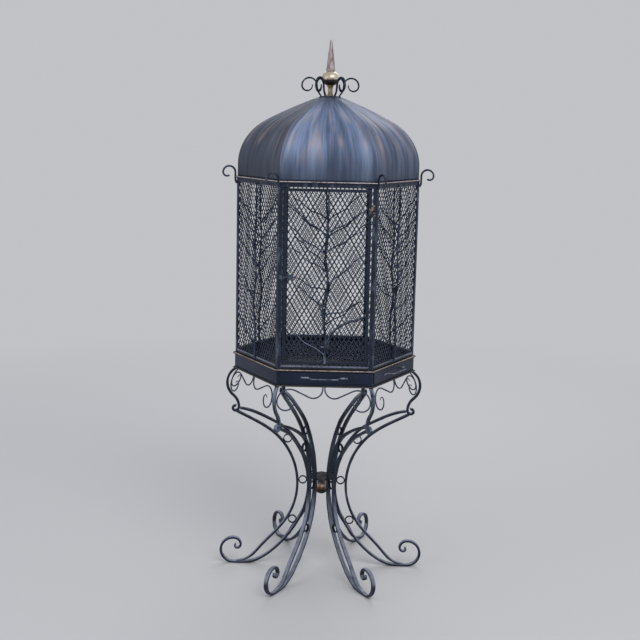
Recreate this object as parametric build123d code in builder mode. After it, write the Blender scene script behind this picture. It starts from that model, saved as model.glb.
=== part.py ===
from build123d import *
import os
from math import acos, cos, radians, sin, sqrt, tan

# A hexagonal wrought-iron aviary on a six-legged scroll stand. Millimetres, +Z up, the origin on the
# floor under the middle of the cage. Corners stand at 0, 60, 120 ... degrees and the door face looks
# along -Y. Sheet and bar sizes, places and clearances are set here, and the rest follows from them.

# Whole cage
sides = 6
turn = 360 / sides
cage_radius = 320.0  # out to the edge of a corner post
base_underside = 744.0
cage_height = 622.0  # from the floor grille to the rim
dome_height = 280.0
fit = 0.3  # gap where one piece seats on another
ball_bands = 8  # turned bands on the two balls

# Stand: flat bars bent edgewise in six radial planes
bar = 9.0  # thickness, in the plane of the bend
bar_width = 14.0
foot_reach = 322.0  # where the foot scroll leaves the floor
foot_flat = 39.0
foot_scroll = 47.0
foot_scroll_turn = 180.0
foot_scroll_inner = 23.0
foot_scroll_inner_turn = 195.0
waist_height = 313.0
waist_radius = 49.0  # centre line of the leg bars at the waist
waist_bend = 300.0
waist_bend_span = (140.0, 73.0)  # where the bend starts, in degrees, and how far it runs
leg_shoulder = (195.0, -41.0)  # out from the middle, up from the elbow
leg_top_slope = 0.08
leg_shin = (178.0, 54.0)
stay_waist_radius = 89.0
stay_bend = 255.0
stay_bend_span = (138.0, 76.0)
stay_shin = (221.0, 69.0)
stay_top_slope = 0.55
elbow_drop = 146.0  # from the base down to the elbow
elbow_inset = 8.0  # centre line of the bracket's stem, in from its top
elbow_curl = 14.0
elbow_curl_turn = 80.0
elbow_roll = 9.0
elbow_roll_turn = 215.0
bracket_knee = (12.5, 43.5)  # where its curve changes side: out from its top, up from the elbow
bracket_inset = 8.0  # its top, in from the corner of the base walls
ring_wall = 4.0
ring_width = 10.0
ring_sides = 12
ring_stations = (142.5, 177.0, 209.5)  # degrees round the leg bar's bend
collar_rise = 25.0  # from the narrowest place of the waist up to the plate that joins the legs
collar_height = 6.0
collar_chamfer = 1.0
waist_ball_gap = 12.0  # from the plate down to the ball
waist_ball_radius = 25.0
waist_ball_height = 50.0
waist_ball_flat = 6.5  # radius of the flats at its top and bottom
waist_pin_radius = 5.0

# Wire scrolls under the base
wire = 5.0
scroll_inset = 1.0  # in from the edge of the bottom plate
scroll_lean = 14.0  # in degrees, as they hang outwards
scroll_start = 3.5
scroll_drop = 6.0
scroll_dip = 32.0
scroll_slope = 25.0
scroll_run = 52.0
scroll_crest = 43.0
scroll_bottom = 28.5
scroll_bottom_turn = 180.0
scroll_eye = 11.0
scroll_eye_turn = 160.0

# Base box
plate = 5.0
plate_lip = 7.0  # past the corners of the walls
plate_chamfer = 1.5
base_wall = 2.0
base_wall_height = 51.0
base_lip = 2.0  # past the corners of the cage
grille_inset = 1.0
grille = 3.0
grille_slot = 11.0
grille_pitch = 21.0
moulding_height = 7.0
moulding_width = 7.0
moulding_chamfer = 2.0
moulding_lip = 4.0  # how far the moulding laps down over the walls

# Drawers: wedge trays, which narrow towards the middle so that two can share the base
sheet = 1.5
drawer_turns = {"front": 0.0, "right": turn}  # which faces have a drawer, by their turn from the door
drawer_window_margin = 15.0  # from a window's side to the corner of the walls
drawer_window_height = 31.0
drawer_sill = 11.0  # window's lower edge above the bottom plate
drawer_panel_margin = 10.0
drawer_panel_height = 38.0
drawer_panel = 2.5
drawer_panel_chamfer = 0.8
drawer_margin = 16.0  # from the tray's side to the wedge between two faces
drawer_inner = 70.0
drawer_tray_height = 26.0
runner_width = 6.0
runner_spread = 62.0
runner_inner = 125.0
pull_ear = 27.0
pull_span = 126.0  # between the middles of the ears
pull_stand_off = 22.0
pull_shoulder = (4.0, 10.0)  # where the rod leaves the panel and where it runs straight
pull_corner = 4.0
pull_rod = 5.0
pull_ear_height = 10.0
pull_ear_sheet = 2.0

# Cage frame and mesh
frame_sheet = 3.0
post_leg = 13.0
rail_height = 14.0
mesh_sheet = 2.0
mesh_lap = 4.0  # how far the mesh reaches behind the frame
mesh_border = 8.0
mesh_strand = 4.0
mesh_column_count = 3
mesh_row_count = 4
tree_sheet = 3.5
trunk_width = 8.0
twig_width = 5.0

# Door
door_gap = 3.5
stile = 10.0
hinge_rises = (79.0, 536.0)  # from the cage floor
hinge_barrel = 4.0
hinge_pin = 2.0
hinge_running = 0.06
hinge_knuckle = 12.0
hinge_knuckle_gap = 0.4
hinge_leaf = 1.5
hinge_leaf_reach = 10.0
hinge_plate_gap = 0.5  # from a barrel's side to the plate of the other leaf
hinge_pin_head = 3.2
latch_rise = 312.0  # from the cage floor
latch_plate = 1.5
latch_plate_height = 18.0
latch_bolt_radius = 3.0
latch_bolt_chamfer = 1.0
latch_running = 0.08
latch_travel = 12.0
latch_knob = 6.0
latch_knob_reach = 13.0
latch_guide = 5.0
latch_guide_height = 12.0
latch_guide_depth = 11.0
latch_tail = 14.0
latch_side_room = 1.0  # between the knob and a guide, at each end of its travel
latch_plate_spare = 3.0
latch_inset = 0.5  # from the end of the bolt to the edge of the door
keeper_width = 8.0
keeper_inset = 1.0  # in from the edge of the post
keeper_clearance = 0.5

# Roof
rim_sheet = 6.0
rim_lip = 7.0  # past the corners of the cage
rim_width = 27.0
rim_chamfer = 1.5
dome_inset = 10.0  # from the rim's corner to the dome's
dome_sheet = 2.0
dome_wall_height = 43.0
dome_shoulder = (98.0, 85.0)  # where the curve flattens: in from the dome's edge, down from its top
dome_neck_radius = 37.0
dome_cap_sheet = 4.0
dome_cap_chamfer = 1.0
dome_seam = 0.2  # between two gores, along a ridge
hook_rod = 6.0
hook_inset = 4.5
hook_stem = 11.0
hook_bend = 22.0
hook_turn = 215.0
crown_bar = 6.0
crown_foot_radius = 31.0
crown_curl_radius = 46.0
crown_curl_height = 35.0
crown_bend = 26.0
crown_bend_turn = 180.0
crown_eye = 18.0
crown_eye_turn = 190.0
pillar_height = 36.0
pillar_radius = 11.0
pillar_waist = 8.0
pillar_collar = 4.0
ball_radius = 30.5
ball_lip = 1.0  # from the pillar's edge to the edge of the ball's flat
ball_height = 48.0
spike_height = 106.0
spike_radius = 15.5
spike_step_height = 62.0
spike_step = 1.5
spike_tip_radius = 3.0

# Perch
perch_block_length = 38.0
perch_block_width = 30.0
perch_block_height = 22.0
perch_block_corner = 4.0
perch_block_chamfer = 1.5
perch_sole = 4.0  # thickness below the branch's foot
perch_rod = 5.0
perch_foot_across = 12.0
perch_turns = [(12, 48), (37, 90), (84, 114), (136, 133), (163, 157)]  # across, and up from the cage floor
perch_corner = 14.0

# Worked out from the sizes above
base_radius = cage_radius + base_lip
plate_radius = base_radius + plate_lip
moulding_radius = base_radius + moulding_width
rim_radius = cage_radius + rim_lip
rim_inner_radius = rim_radius - rim_width
dome_radius = rim_radius - dome_inset
hook_radius = rim_radius - hook_inset
bracket_top_radius = base_radius - bracket_inset
elbow_radius = bracket_top_radius - elbow_inset
elbow_height = base_underside - elbow_drop
knee = (bracket_top_radius + bracket_knee[0], elbow_height + bracket_knee[1])
plate_top = base_underside + plate
wall_top = plate_top + base_wall_height
cage_floor = wall_top + grille
cage_top = cage_floor + cage_height
hinge_heights = [cage_floor + rise for rise in hinge_rises]
latch_height = cage_floor + latch_rise
rim_top = cage_top + rim_sheet
dome_top = rim_top + dome_height
flat_share = cos(radians(turn / 2))  # from a hexagon's corner radius to the distance of its flats
face_out = cage_radius * flat_share
face_in = face_out - frame_sheet
bay = cage_radius / 2 - post_leg  # half the clear width between two posts
base_face = base_radius * flat_share
rail_inner_low = cage_floor + rail_height
rail_inner_high = cage_top - rail_height
door_half = bay - door_gap
door_low = rail_inner_low + door_gap
door_high = rail_inner_high - door_gap

os.makedirs("parts", exist_ok=True)


def face_plane(distance, face_turn=0):
    """An upright plane that faces out of the door face, or of the face this far round from it."""
    outward = Vector(0, -1, 0).rotate(Axis.Z, face_turn)
    across = Vector(1, 0, 0).rotate(Axis.Z, face_turn)
    return Plane(origin=outward * distance, x_dir=across, z_dir=outward)


def export(part, name):
    part.label = name
    export_step(part, f"parts/{name}.step")


def export_around(part, name):
    """The same piece at every corner, each in its own file."""
    for index in range(sides):
        export(part.rotate(Axis.Z, index * turn), f"{name}_{index + 1}")


def turned_ball(radius, flat, low, high):
    """A ball turned in bands, with a flat of this radius at its low and high level."""
    lean = acos(flat / radius)
    rise = (high - low) / (2 * sin(lean))
    angles = [lean * (2 * band / ball_bands - 1) for band in range(ball_bands + 1)]
    outline = [(radius * cos(angle), (low + high) / 2 + rise * sin(angle)) for angle in angles]
    with BuildPart() as ball:
        with BuildSketch(Plane.XZ):
            Polygon((0, low), *outline, (0, high), align=None)
        revolve(axis=Axis.Z)
    return ball.part


# ---------------------------------------------------------------- stand
leg_arc_centre = (waist_radius + waist_bend, waist_height)
stay_arc_centre = (stay_waist_radius + stay_bend, waist_height)
leg_end_radius = elbow_radius - bar / 2 - fit

with BuildPart() as leg_bar:
    with BuildSketch(Plane.XZ):
        with BuildLine():
            waist = CenterArc(leg_arc_centre, waist_bend, *waist_bend_span)
            Spline(
                (leg_end_radius, elbow_height - bar / 2),
                (leg_shoulder[0], elbow_height + leg_shoulder[1]),
                waist @ 0,
                tangents=[(-1, -leg_top_slope), waist % 0],
            )
            Spline(
                waist @ 1,
                leg_shin,
                (foot_reach - foot_flat, bar / 2),
                tangents=[waist % 1, (1, 0)],
            )
            foot = Line((foot_reach - foot_flat, bar / 2), (foot_reach, bar / 2))
            toe = JernArc(foot @ 1, (1, 0), foot_scroll, foot_scroll_turn)
            JernArc(toe @ 1, toe % 1, foot_scroll_inner, foot_scroll_inner_turn)
        trace(line_width=bar)
    extrude(amount=bar_width / 2, both=True)
export_around(leg_bar.part, "leg_bar")

with BuildPart() as leg_stay:
    with BuildSketch(Plane.XZ):
        with BuildLine():
            stay_waist = CenterArc(stay_arc_centre, stay_bend, *stay_bend_span)
            Spline(
                (elbow_radius + bar, elbow_height - elbow_curl),
                stay_waist @ 0,
                tangents=[(-1, -stay_top_slope), stay_waist % 0],
            )
            Spline(
                stay_waist @ 1,
                stay_shin,
                (foot_reach - foot_flat + bar, bar * 1.5),
                tangents=[stay_waist % 1, (1, 0)],
            )
            Line((foot_reach - foot_flat + bar, bar * 1.5), (foot_reach - bar, bar * 1.5))
        trace(line_width=bar)
        with Locations((elbow_radius + elbow_curl, elbow_height)):
            Circle(elbow_curl + bar / 2 + fit, mode=Mode.SUBTRACT)
    extrude(amount=bar_width / 2, both=True)
export_around(leg_stay.part, "leg_stay")

with BuildPart() as leg_bracket:
    with BuildSketch(Plane.XZ):
        with BuildLine():
            stem = TangentArc((elbow_radius, elbow_height), knee, tangent=(0, 1))
            TangentArc(knee, (bracket_top_radius, base_underside), tangent=stem % 1)
            curl = JernArc((elbow_radius, elbow_height), (0, -1), elbow_curl, elbow_curl_turn)
            JernArc(curl @ 1, curl % 1, elbow_roll, elbow_roll_turn)
        trace(line_width=bar)
        with Locations((bracket_top_radius, base_underside)):
            Rectangle(8 * bar, 2 * bar, align=(Align.CENTER, Align.MIN), mode=Mode.SUBTRACT)
    extrude(amount=bar_width / 2, both=True)
export_around(leg_bracket.part, "leg_bracket")


def ring_seat(station):
    """Centre and radius of a ring that fills the gap between leg bar and stay at this angle."""
    across, up = cos(radians(station)), sin(radians(station))
    shift = (stay_arc_centre[0] - leg_arc_centre[0]) * across
    stay_face = stay_bend + bar / 2
    sideways = stay_arc_centre[0] - leg_arc_centre[0]
    near = shift + sqrt(stay_face**2 - sideways**2 + shift**2)
    far = waist_bend - bar / 2
    middle = (near + far) / 2
    centre = (leg_arc_centre[0] + middle * across, leg_arc_centre[1] + middle * up)
    return centre, (far - near) / 2 - fit


with BuildPart() as leg_ring_set:
    with BuildSketch(Plane.XZ):
        for station in ring_stations:
            ring_centre, ring_radius = ring_seat(station)
            with Locations(ring_centre):
                RegularPolygon(ring_radius, ring_sides)
                RegularPolygon(ring_radius - ring_wall, ring_sides, mode=Mode.SUBTRACT)
    extrude(amount=ring_width / 2, both=True)
with BuildPart() as leg_rings:
    with PolarLocations(0, sides):
        add(leg_ring_set.part)
export(leg_rings.part, "leg_rings")

collar_low = waist_height + collar_rise
leg_face = leg_arc_centre[0] - sqrt((waist_bend + bar / 2) ** 2 - (collar_low - waist_height) ** 2)
collar_flat = leg_face - fit
ball_top = collar_low - waist_ball_gap
with BuildPart() as waist_collar:
    with BuildSketch(Plane.XY.offset(collar_low)):
        RegularPolygon(collar_flat, sides, major_radius=False, rotation=turn / 2)
    extrude(amount=collar_height)
    chamfer(waist_collar.faces().sort_by(Axis.Z)[-1].edges(), collar_chamfer)
    with BuildSketch(Plane.XY.offset(collar_low)):
        Circle(waist_pin_radius)
    extrude(amount=ball_top - collar_low)
export(waist_collar.part, "waist_collar")

export(turned_ball(waist_ball_radius, waist_ball_flat, ball_top - waist_ball_height, ball_top), "waist_ball")

# ---------------------------------------------------------------- wire scrolls under the base
scroll_plane = Plane(
    origin=(0, scroll_inset + wire - plate_radius * flat_share, base_underside),
    x_dir=(1, 0, 0),
    z_dir=(0, -cos(radians(scroll_lean)), sin(radians(scroll_lean))),
)
with BuildPart() as apron_pair:
    with BuildSketch(scroll_plane):
        with BuildLine():
            drop = Line((scroll_start, wire), (scroll_start, -scroll_drop))
            dip = JernArc(drop @ 1, drop % 1, scroll_dip, 90 + scroll_slope)
            run = Line(dip @ 1, dip @ 1 + (dip % 1) * scroll_run)
            crest = JernArc(run @ 1, run % 1, scroll_crest, -90 - scroll_slope)
            bottom = JernArc(crest @ 1, crest % 1, scroll_bottom, -scroll_bottom_turn)
            JernArc(bottom @ 1, bottom % 1, scroll_eye, -scroll_eye_turn)
        trace(line_width=wire)
        mirror(about=Plane.YZ)
    extrude(amount=wire)
    split(bisect_by=Plane.XY.offset(base_underside), keep=Keep.BOTTOM)
with BuildPart() as apron_scrolls:
    with PolarLocations(0, sides):
        add(apron_pair.part)
export(apron_scrolls.part, "apron_scrolls")

# ---------------------------------------------------------------- base box
with BuildPart() as base_plate:
    with BuildSketch(Plane.XY.offset(base_underside)):
        RegularPolygon(plate_radius, sides)
    extrude(amount=plate)
    chamfer(base_plate.faces().sort_by(Axis.Z)[-1].edges(), plate_chamfer)
export(base_plate.part, "base_plate")

window_low = plate_top + drawer_sill
with BuildPart() as base_walls:
    with BuildSketch(Plane.XY.offset(plate_top)):
        RegularPolygon(base_radius, sides)
        RegularPolygon(base_radius - base_wall / flat_share, sides, mode=Mode.SUBTRACT)
    extrude(amount=base_wall_height)
    for face_turn in drawer_turns.values():
        with BuildSketch(face_plane(base_face, face_turn)):
            with Locations((0, window_low + drawer_window_height / 2)):
                Rectangle(base_radius - 2 * drawer_window_margin, drawer_window_height)
        extrude(amount=-2 * base_wall, mode=Mode.SUBTRACT)
export(base_walls.part, "base_walls")

grille_radius = base_radius - grille_inset
with BuildPart() as floor_grille:
    with BuildSketch(Plane.XY.offset(wall_top)):
        RegularPolygon(grille_radius, sides)
    extrude(amount=grille)
    slot_room = grille_radius * flat_share - rail_height
    slot_rows = int(slot_room / grille_pitch)
    with BuildSketch(Plane.XY.offset(wall_top)):
        for row in range(-slot_rows, slot_rows + 1):
            across = row * grille_pitch
            length = 2 * (grille_radius - rail_height - abs(across) * tan(radians(turn / 2))) - grille_slot
            if abs(across) < perch_block_width / 2 + grille_slot:
                half = (length - perch_block_length - 2 * grille_slot) / 2
                with Locations(((length - half) / 2, across), ((half - length) / 2, across)):
                    Rectangle(half, grille_slot)
            else:
                with Locations((0, across)):
                    Rectangle(length, grille_slot)
    extrude(amount=grille, mode=Mode.SUBTRACT)
export(floor_grille.part, "floor_grille")

with BuildPart() as base_moulding:
    with BuildSketch(Plane.XY.offset(wall_top - moulding_lip)):
        RegularPolygon(moulding_radius, sides)
        RegularPolygon(base_radius + fit / flat_share, sides, mode=Mode.SUBTRACT)
    extrude(amount=moulding_height)
    chamfer(base_moulding.faces().sort_by(Axis.Z)[-1].outer_wire().edges(), moulding_chamfer)
export(base_moulding.part, "base_moulding")

# ---------------------------------------------------------------- drawers
tray_low = plate_top + drawer_sill + fit
runner_length = base_face - base_wall - runner_inner - fit
with BuildPart() as drawer_runners:
    for face_turn in drawer_turns.values():
        with BuildSketch(face_plane(runner_inner, face_turn)):
            with Locations((-runner_spread, plate_top), (runner_spread, plate_top)):
                Rectangle(runner_width, drawer_sill, align=(Align.CENTER, Align.MIN))
        extrude(amount=runner_length)
export(drawer_runners.part, "drawer_runners")

panel_back = base_face + fit
wedge_slope = tan(radians(turn / 2))
tray_back = panel_back * wedge_slope - drawer_margin
tray_front = drawer_inner * wedge_slope - drawer_margin
panel_centre = window_low + drawer_window_height / 2
with BuildPart() as drawer:
    with BuildSketch(Plane.XY.offset(tray_low)):
        Polygon(
            (-tray_back, -panel_back),
            (tray_back, -panel_back),
            (tray_front, -drawer_inner),
            (-tray_front, -drawer_inner),
            align=None,
        )
    extrude(amount=drawer_tray_height)
    offset(amount=-sheet, openings=drawer.faces().sort_by(Axis.Z)[-1])
    with BuildSketch(face_plane(panel_back)):
        with Locations((0, panel_centre)):
            Rectangle(base_radius - 2 * drawer_panel_margin, drawer_panel_height)
    extrude(amount=drawer_panel)
    chamfer(drawer.faces().sort_by(Axis.Y)[0].edges(), drawer_panel_chamfer)

panel_face = panel_back + drawer_panel
rod_low = -panel_face - pull_rod / 2
rod_high = -panel_face - pull_stand_off
pull_bend = (pull_span - pull_ear) / 2
with BuildPart() as pull:
    with BuildSketch(Plane.XY.offset(panel_centre - pull_rod / 2)):
        with BuildLine():
            FilletPolyline(
                (-pull_span / 2, rod_low),
                (pull_shoulder[0] - pull_bend, rod_low),
                (pull_shoulder[1] - pull_bend, rod_high),
                (pull_bend - pull_shoulder[1], rod_high),
                (pull_bend - pull_shoulder[0], rod_low),
                (pull_span / 2, rod_low),
                radius=pull_corner,
            )
        trace(line_width=pull_rod)
    extrude(amount=pull_rod)
    with BuildSketch(face_plane(panel_face)):
        with Locations((-pull_span / 2, panel_centre), (pull_span / 2, panel_centre)):
            SlotOverall(pull_ear, pull_ear_height)
    extrude(amount=pull_ear_sheet)

for side_name, face_turn in drawer_turns.items():
    export(drawer.part.rotate(Axis.Z, face_turn), f"drawer_{side_name}")
    export(pull.part.rotate(Axis.Z, face_turn), f"drawer_{side_name}_pull")

# ---------------------------------------------------------------- cage frame
with BuildPart() as post:
    with BuildSketch(Plane.XY.offset(cage_floor)):
        reach = post_leg * cos(radians(turn))
        spread = post_leg * sin(radians(turn))
        inner_x = frame_sheet * flat_share
        inner_y = frame_sheet * sin(radians(turn / 2))
        Polygon(
            (cage_radius, 0),
            (cage_radius - reach, spread),
            (cage_radius - reach - inner_x, spread - inner_y),
            (cage_radius - frame_sheet / flat_share, 0),
            (cage_radius - reach - inner_x, inner_y - spread),
            (cage_radius - reach, -spread),
            align=None,
        )
    extrude(amount=cage_height)
with BuildPart() as corner_posts:
    with PolarLocations(0, sides):
        add(post.part)
export(corner_posts.part, "corner_posts")

for rail_name, rail_low in (("bottom_rails", cage_floor), ("top_rails", rail_inner_high)):
    with BuildPart() as rail:
        with BuildSketch(face_plane(face_in)):
            with Locations((0, rail_low)):
                Rectangle(2 * bay, rail_height, align=(Align.CENTER, Align.MIN))
        extrude(amount=frame_sheet)
    with BuildPart() as rails:
        with PolarLocations(0, sides):
            add(rail.part)
    export(rails.part, rail_name)


def mesh_lattice(half_width, low, high, columns, rows):
    """Sketch of an expanded-metal sheet: a border and two sets of crossing strands."""
    height = high - low
    pitch_x = 2 * half_width / columns
    pitch_z = height / rows
    length = 2 * (height + 2 * half_width)
    with BuildSketch(face_plane(face_in - mesh_sheet)) as lattice:
        middle = (low + high) / 2
        with Locations((0, middle)):
            Rectangle(2 * half_width, height)
            Rectangle(2 * (half_width - mesh_border), height - 2 * mesh_border, mode=Mode.SUBTRACT)
        lean = Vector(pitch_x, pitch_z).get_angle(Vector(1, 0))
        for step in range(-(columns + rows) // 2, (columns + rows) // 2 + 1):
            with Locations((step * pitch_x, middle)):
                Rectangle(length, mesh_strand, rotation=lean)
                Rectangle(length, mesh_strand, rotation=-lean)
        with Locations((0, middle)):
            Rectangle(2 * half_width, height, mode=Mode.INTERSECT)
    return lattice.sketch


panel_sketch = mesh_lattice(
    bay + mesh_lap,
    rail_inner_low - mesh_lap,
    rail_inner_high + mesh_lap,
    mesh_column_count,
    mesh_row_count,
)
with BuildPart() as mesh_panel:
    extrude(panel_sketch, amount=mesh_sheet)
for index in range(1, sides):
    export(mesh_panel.part.rotate(Axis.Z, index * turn), f"mesh_panel_{index}")

# ---------------------------------------------------------------- wrought trees on the panels
# Trunk and twigs as places on a panel: across from its middle, up from the cage floor.
tree_room = (147.0, 622.0)  # half width and height of the panel that they are drawn for
trunk_line = [(-1, 0), (-2, 48), (1, 123), (-10, 180), (-12, 215), (-3, 258), (5, 292), (-5, 385), (2, 497)]
twig_lines = [
    [(-2, 52), (-47, 79), (-81, 94), (-104, 118), (-142, 152)],
    [(-10, 184), (-40, 245), (-71, 270), (-108, 286)],
    [(3, 330), (-45, 361), (-75, 373), (-122, 412)],
    [(-4, 392), (-46, 427), (-93, 451), (-141, 494)],
    [(-2, 452), (-31, 480), (-71, 497), (-99, 536), (-127, 555)],
    [(-11, 190), (27, 177), (52, 185), (90, 210), (120, 233)],
    [(4, 280), (42, 321), (67, 352), (107, 379), (124, 391)],
    [(-4, 396), (46, 422), (87, 446), (117, 486), (146, 508)],
    [(0, 462), (35, 475), (74, 499), (102, 524), (126, 536)],
]


def tree_sketch(low, high, half_width):
    """A trunk from one frame bar to the other, with twigs spread to suit this half width."""
    scale_x = half_width / tree_room[0]
    scale_z = cage_height / tree_room[1]
    trunk, *twigs = [
        [(across * scale_x, cage_floor + up * scale_z) for across, up in line]
        for line in [trunk_line, *twig_lines]
    ]
    with BuildSketch(face_plane(face_out)) as tree:
        with BuildLine():
            Polyline((trunk[0][0], low), *trunk[1:], (trunk[-1][0], high))
        trace(line_width=trunk_width)
        for twig in twigs:
            with BuildLine():
                Polyline(*twig)
            trace(line_width=twig_width)
    return tree.sketch


panel_tree_sketch = tree_sketch(cage_floor + rail_height / 2, cage_top - rail_height / 2, bay)
with BuildPart() as panel_tree:
    extrude(panel_tree_sketch, amount=tree_sheet)
with BuildPart() as wall_trees:
    for index in range(1, sides):
        add(panel_tree.part.rotate(Axis.Z, index * turn))
export(wall_trees.part, "wall_trees")

# ---------------------------------------------------------------- door
with BuildPart() as door_frame:
    with BuildSketch(face_plane(face_in)):
        with Locations((0, (door_low + door_high) / 2)):
            Rectangle(2 * door_half, door_high - door_low)
            Rectangle(2 * (door_half - stile), door_high - door_low - 2 * stile, mode=Mode.SUBTRACT)
    extrude(amount=frame_sheet)
export(door_frame.part, "door_frame")

door_sketch = mesh_lattice(
    door_half - stile + mesh_lap,
    door_low + stile - mesh_lap,
    door_high - stile + mesh_lap,
    mesh_column_count,
    mesh_row_count,
)
with BuildPart() as door_mesh:
    extrude(door_sketch, amount=mesh_sheet)
export(door_mesh.part, "door_mesh")

door_tree_sketch = tree_sketch(door_low + stile / 2, door_high - stile / 2, door_half)
with BuildPart() as door_tree:
    extrude(door_tree_sketch, amount=tree_sheet)
export(door_tree.part, "door_tree")

# ---------------------------------------------------------------- hinges, on the right of the door
hinge_x = bay - door_gap / 2
hinge_y = -(face_out + hinge_barrel)
knuckle_bore = hinge_pin + hinge_running
barrel_half = 1.5 * hinge_knuckle + hinge_knuckle_gap


def hinge_leaf_part(spans, toward):
    """One leaf of a hinge at height zero: knuckles over these spans, and a plate to this side."""
    with BuildPart() as leaf:
        for low, high in spans:
            with BuildSketch(Plane.XY.offset(low)):
                with Locations((hinge_x, hinge_y)):
                    Circle(hinge_barrel)
                with Locations((hinge_x + toward * hinge_leaf_reach / 2, -face_out)):
                    Rectangle(hinge_leaf_reach, hinge_leaf, align=(Align.CENTER, Align.MAX))
                with Locations((hinge_x, hinge_y)):
                    Circle(knuckle_bore, mode=Mode.SUBTRACT)
            extrude(amount=high - low)
        plate_inner = hinge_barrel + hinge_plate_gap
        with BuildSketch(face_plane(face_out)):
            with Locations((hinge_x + toward * (plate_inner + hinge_leaf_reach) / 2, 0)):
                Rectangle(hinge_leaf_reach - plate_inner, 2 * barrel_half)
        extrude(amount=hinge_leaf)
    return leaf.part


half_knuckle = hinge_knuckle / 2
knuckle_start = half_knuckle + hinge_knuckle_gap
fixed_leaf = hinge_leaf_part([(-barrel_half, -knuckle_start), (knuckle_start, barrel_half)], 1)
moving_leaf = hinge_leaf_part([(-half_knuckle, half_knuckle)], -1)
hinge_places = [(0, 0, level) for level in hinge_heights]
with BuildPart() as hinge_fixed_leaves:
    with Locations(*hinge_places):
        add(fixed_leaf)
export(hinge_fixed_leaves.part, "hinge_fixed_leaves")

with BuildPart() as hinge_moving_leaves:
    with Locations(*hinge_places):
        add(moving_leaf)
export(hinge_moving_leaves.part, "hinge_moving_leaves")

with BuildPart() as hinge_pins:
    for level in hinge_heights:
        with BuildSketch(Plane.XY.offset(level - barrel_half)):
            with Locations((hinge_x, hinge_y)):
                Circle(hinge_pin)
        extrude(amount=2 * barrel_half + hinge_pin)
        with BuildSketch(Plane.XY.offset(level + barrel_half)):
            with Locations((hinge_x, hinge_y)):
                Circle(hinge_pin_head)
        extrude(amount=hinge_pin)
export(hinge_pins.part, "hinge_pins")

# ---------------------------------------------------------------- slide latch, on the left of the door
latch_axis = face_out + latch_plate + latch_guide_depth / 2
guide_spacing = latch_travel + latch_knob + 2 * latch_side_room
latch_left = -door_half
second_guide = latch_left + latch_guide + guide_spacing
plate_length = 2 * latch_guide + guide_spacing + latch_plate_spare
with BuildPart() as latch_guides:
    with BuildSketch(face_plane(face_out)):
        with Locations((latch_left, latch_height)):
            Rectangle(plate_length, latch_plate_height, align=(Align.MIN, Align.CENTER))
    extrude(amount=latch_plate)
    with BuildSketch(face_plane(face_out + latch_plate)):
        with Locations((latch_left, latch_height), (second_guide, latch_height)):
            Rectangle(latch_guide, latch_guide_height, align=(Align.MIN, Align.CENTER))
    extrude(amount=latch_guide_depth)
    with BuildSketch(Plane.YZ.offset(latch_left)):
        with Locations((-latch_axis, latch_height)):
            Circle(latch_bolt_radius + latch_running)
    extrude(amount=plate_length, mode=Mode.SUBTRACT)
export(latch_guides.part, "latch_guides")

bolt_tip = latch_left + latch_inset
bolt_tail = second_guide + latch_guide + latch_tail
knob_x = second_guide - latch_side_room - latch_knob / 2
with BuildPart() as latch_bolt:
    with BuildSketch(Plane.YZ.offset(bolt_tip)):
        with Locations((-latch_axis, latch_height)):
            Circle(latch_bolt_radius)
    extrude(amount=bolt_tail - bolt_tip)
    chamfer(latch_bolt.faces().sort_by(Axis.X)[0].edges(), latch_bolt_chamfer)
    with BuildSketch(face_plane(latch_axis)):
        with Locations((knob_x, latch_height)):
            Circle(latch_knob / 2)
    extrude(amount=latch_knob_reach)
export(latch_bolt.part, "latch_bolt")

keeper_x = -bay - keeper_inset
with BuildPart() as latch_keeper:
    with BuildSketch(face_plane(face_out)):
        with Locations((keeper_x, latch_height)):
            Rectangle(keeper_width, latch_guide_height, align=(Align.MAX, Align.CENTER))
    extrude(amount=latch_plate + latch_guide_depth)
    with BuildSketch(Plane.YZ.offset(keeper_x - keeper_width)):
        with Locations((-latch_axis, latch_height)):
            Circle(latch_bolt_radius + keeper_clearance)
    extrude(amount=keeper_width, mode=Mode.SUBTRACT)
export(latch_keeper.part, "latch_keeper")

# ---------------------------------------------------------------- roof
with BuildPart() as rim_band:
    with BuildSketch(Plane.XY.offset(cage_top)):
        RegularPolygon(rim_radius, sides)
        RegularPolygon(rim_inner_radius, sides, mode=Mode.SUBTRACT)
    extrude(amount=rim_sheet)
    chamfer(rim_band.faces().sort_by(Axis.Z)[-1].outer_wire().edges(), rim_chamfer)
export(rim_band.part, "rim_band")

wedge_depth = dome_radius / tan(radians(turn / 2))
with BuildPart() as dome_gore:
    with BuildSketch(Plane.YZ):
        with BuildLine():
            skin = Line(
                (dome_sheet / 2 - dome_radius * flat_share, rim_top),
                (dome_sheet / 2 - dome_radius * flat_share, rim_top + dome_wall_height),
            )
            shoulder = TangentArc(
                skin @ 1,
                ((dome_shoulder[0] - dome_radius) * flat_share, dome_top - dome_shoulder[1]),
                tangent=skin % 1,
            )
            TangentArc(
                shoulder @ 1,
                (-dome_neck_radius * flat_share, dome_top - dome_cap_sheet - dome_sheet / 2),
                tangent=shoulder % 1,
            )
        trace(line_width=dome_sheet)
    extrude(amount=dome_radius, both=True)
    with BuildSketch(Plane.XY.offset(rim_top)):
        Polygon(
            (0, -dome_seam),
            (-dome_radius, -dome_seam - wedge_depth),
            (dome_radius, -dome_seam - wedge_depth),
            align=None,
        )
    extrude(amount=dome_height - dome_cap_sheet, mode=Mode.INTERSECT)
with BuildPart() as dome_gores:
    with PolarLocations(0, sides):
        add(dome_gore.part)
export(dome_gores.part, "dome_gores")

with BuildPart() as dome_cap:
    with BuildSketch(Plane.XY.offset(dome_top - dome_cap_sheet)):
        RegularPolygon(dome_neck_radius, sides)
    extrude(amount=dome_cap_sheet)
    chamfer(dome_cap.faces().sort_by(Axis.Z)[-1].edges(), dome_cap_chamfer)
export(dome_cap.part, "dome_cap")

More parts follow.
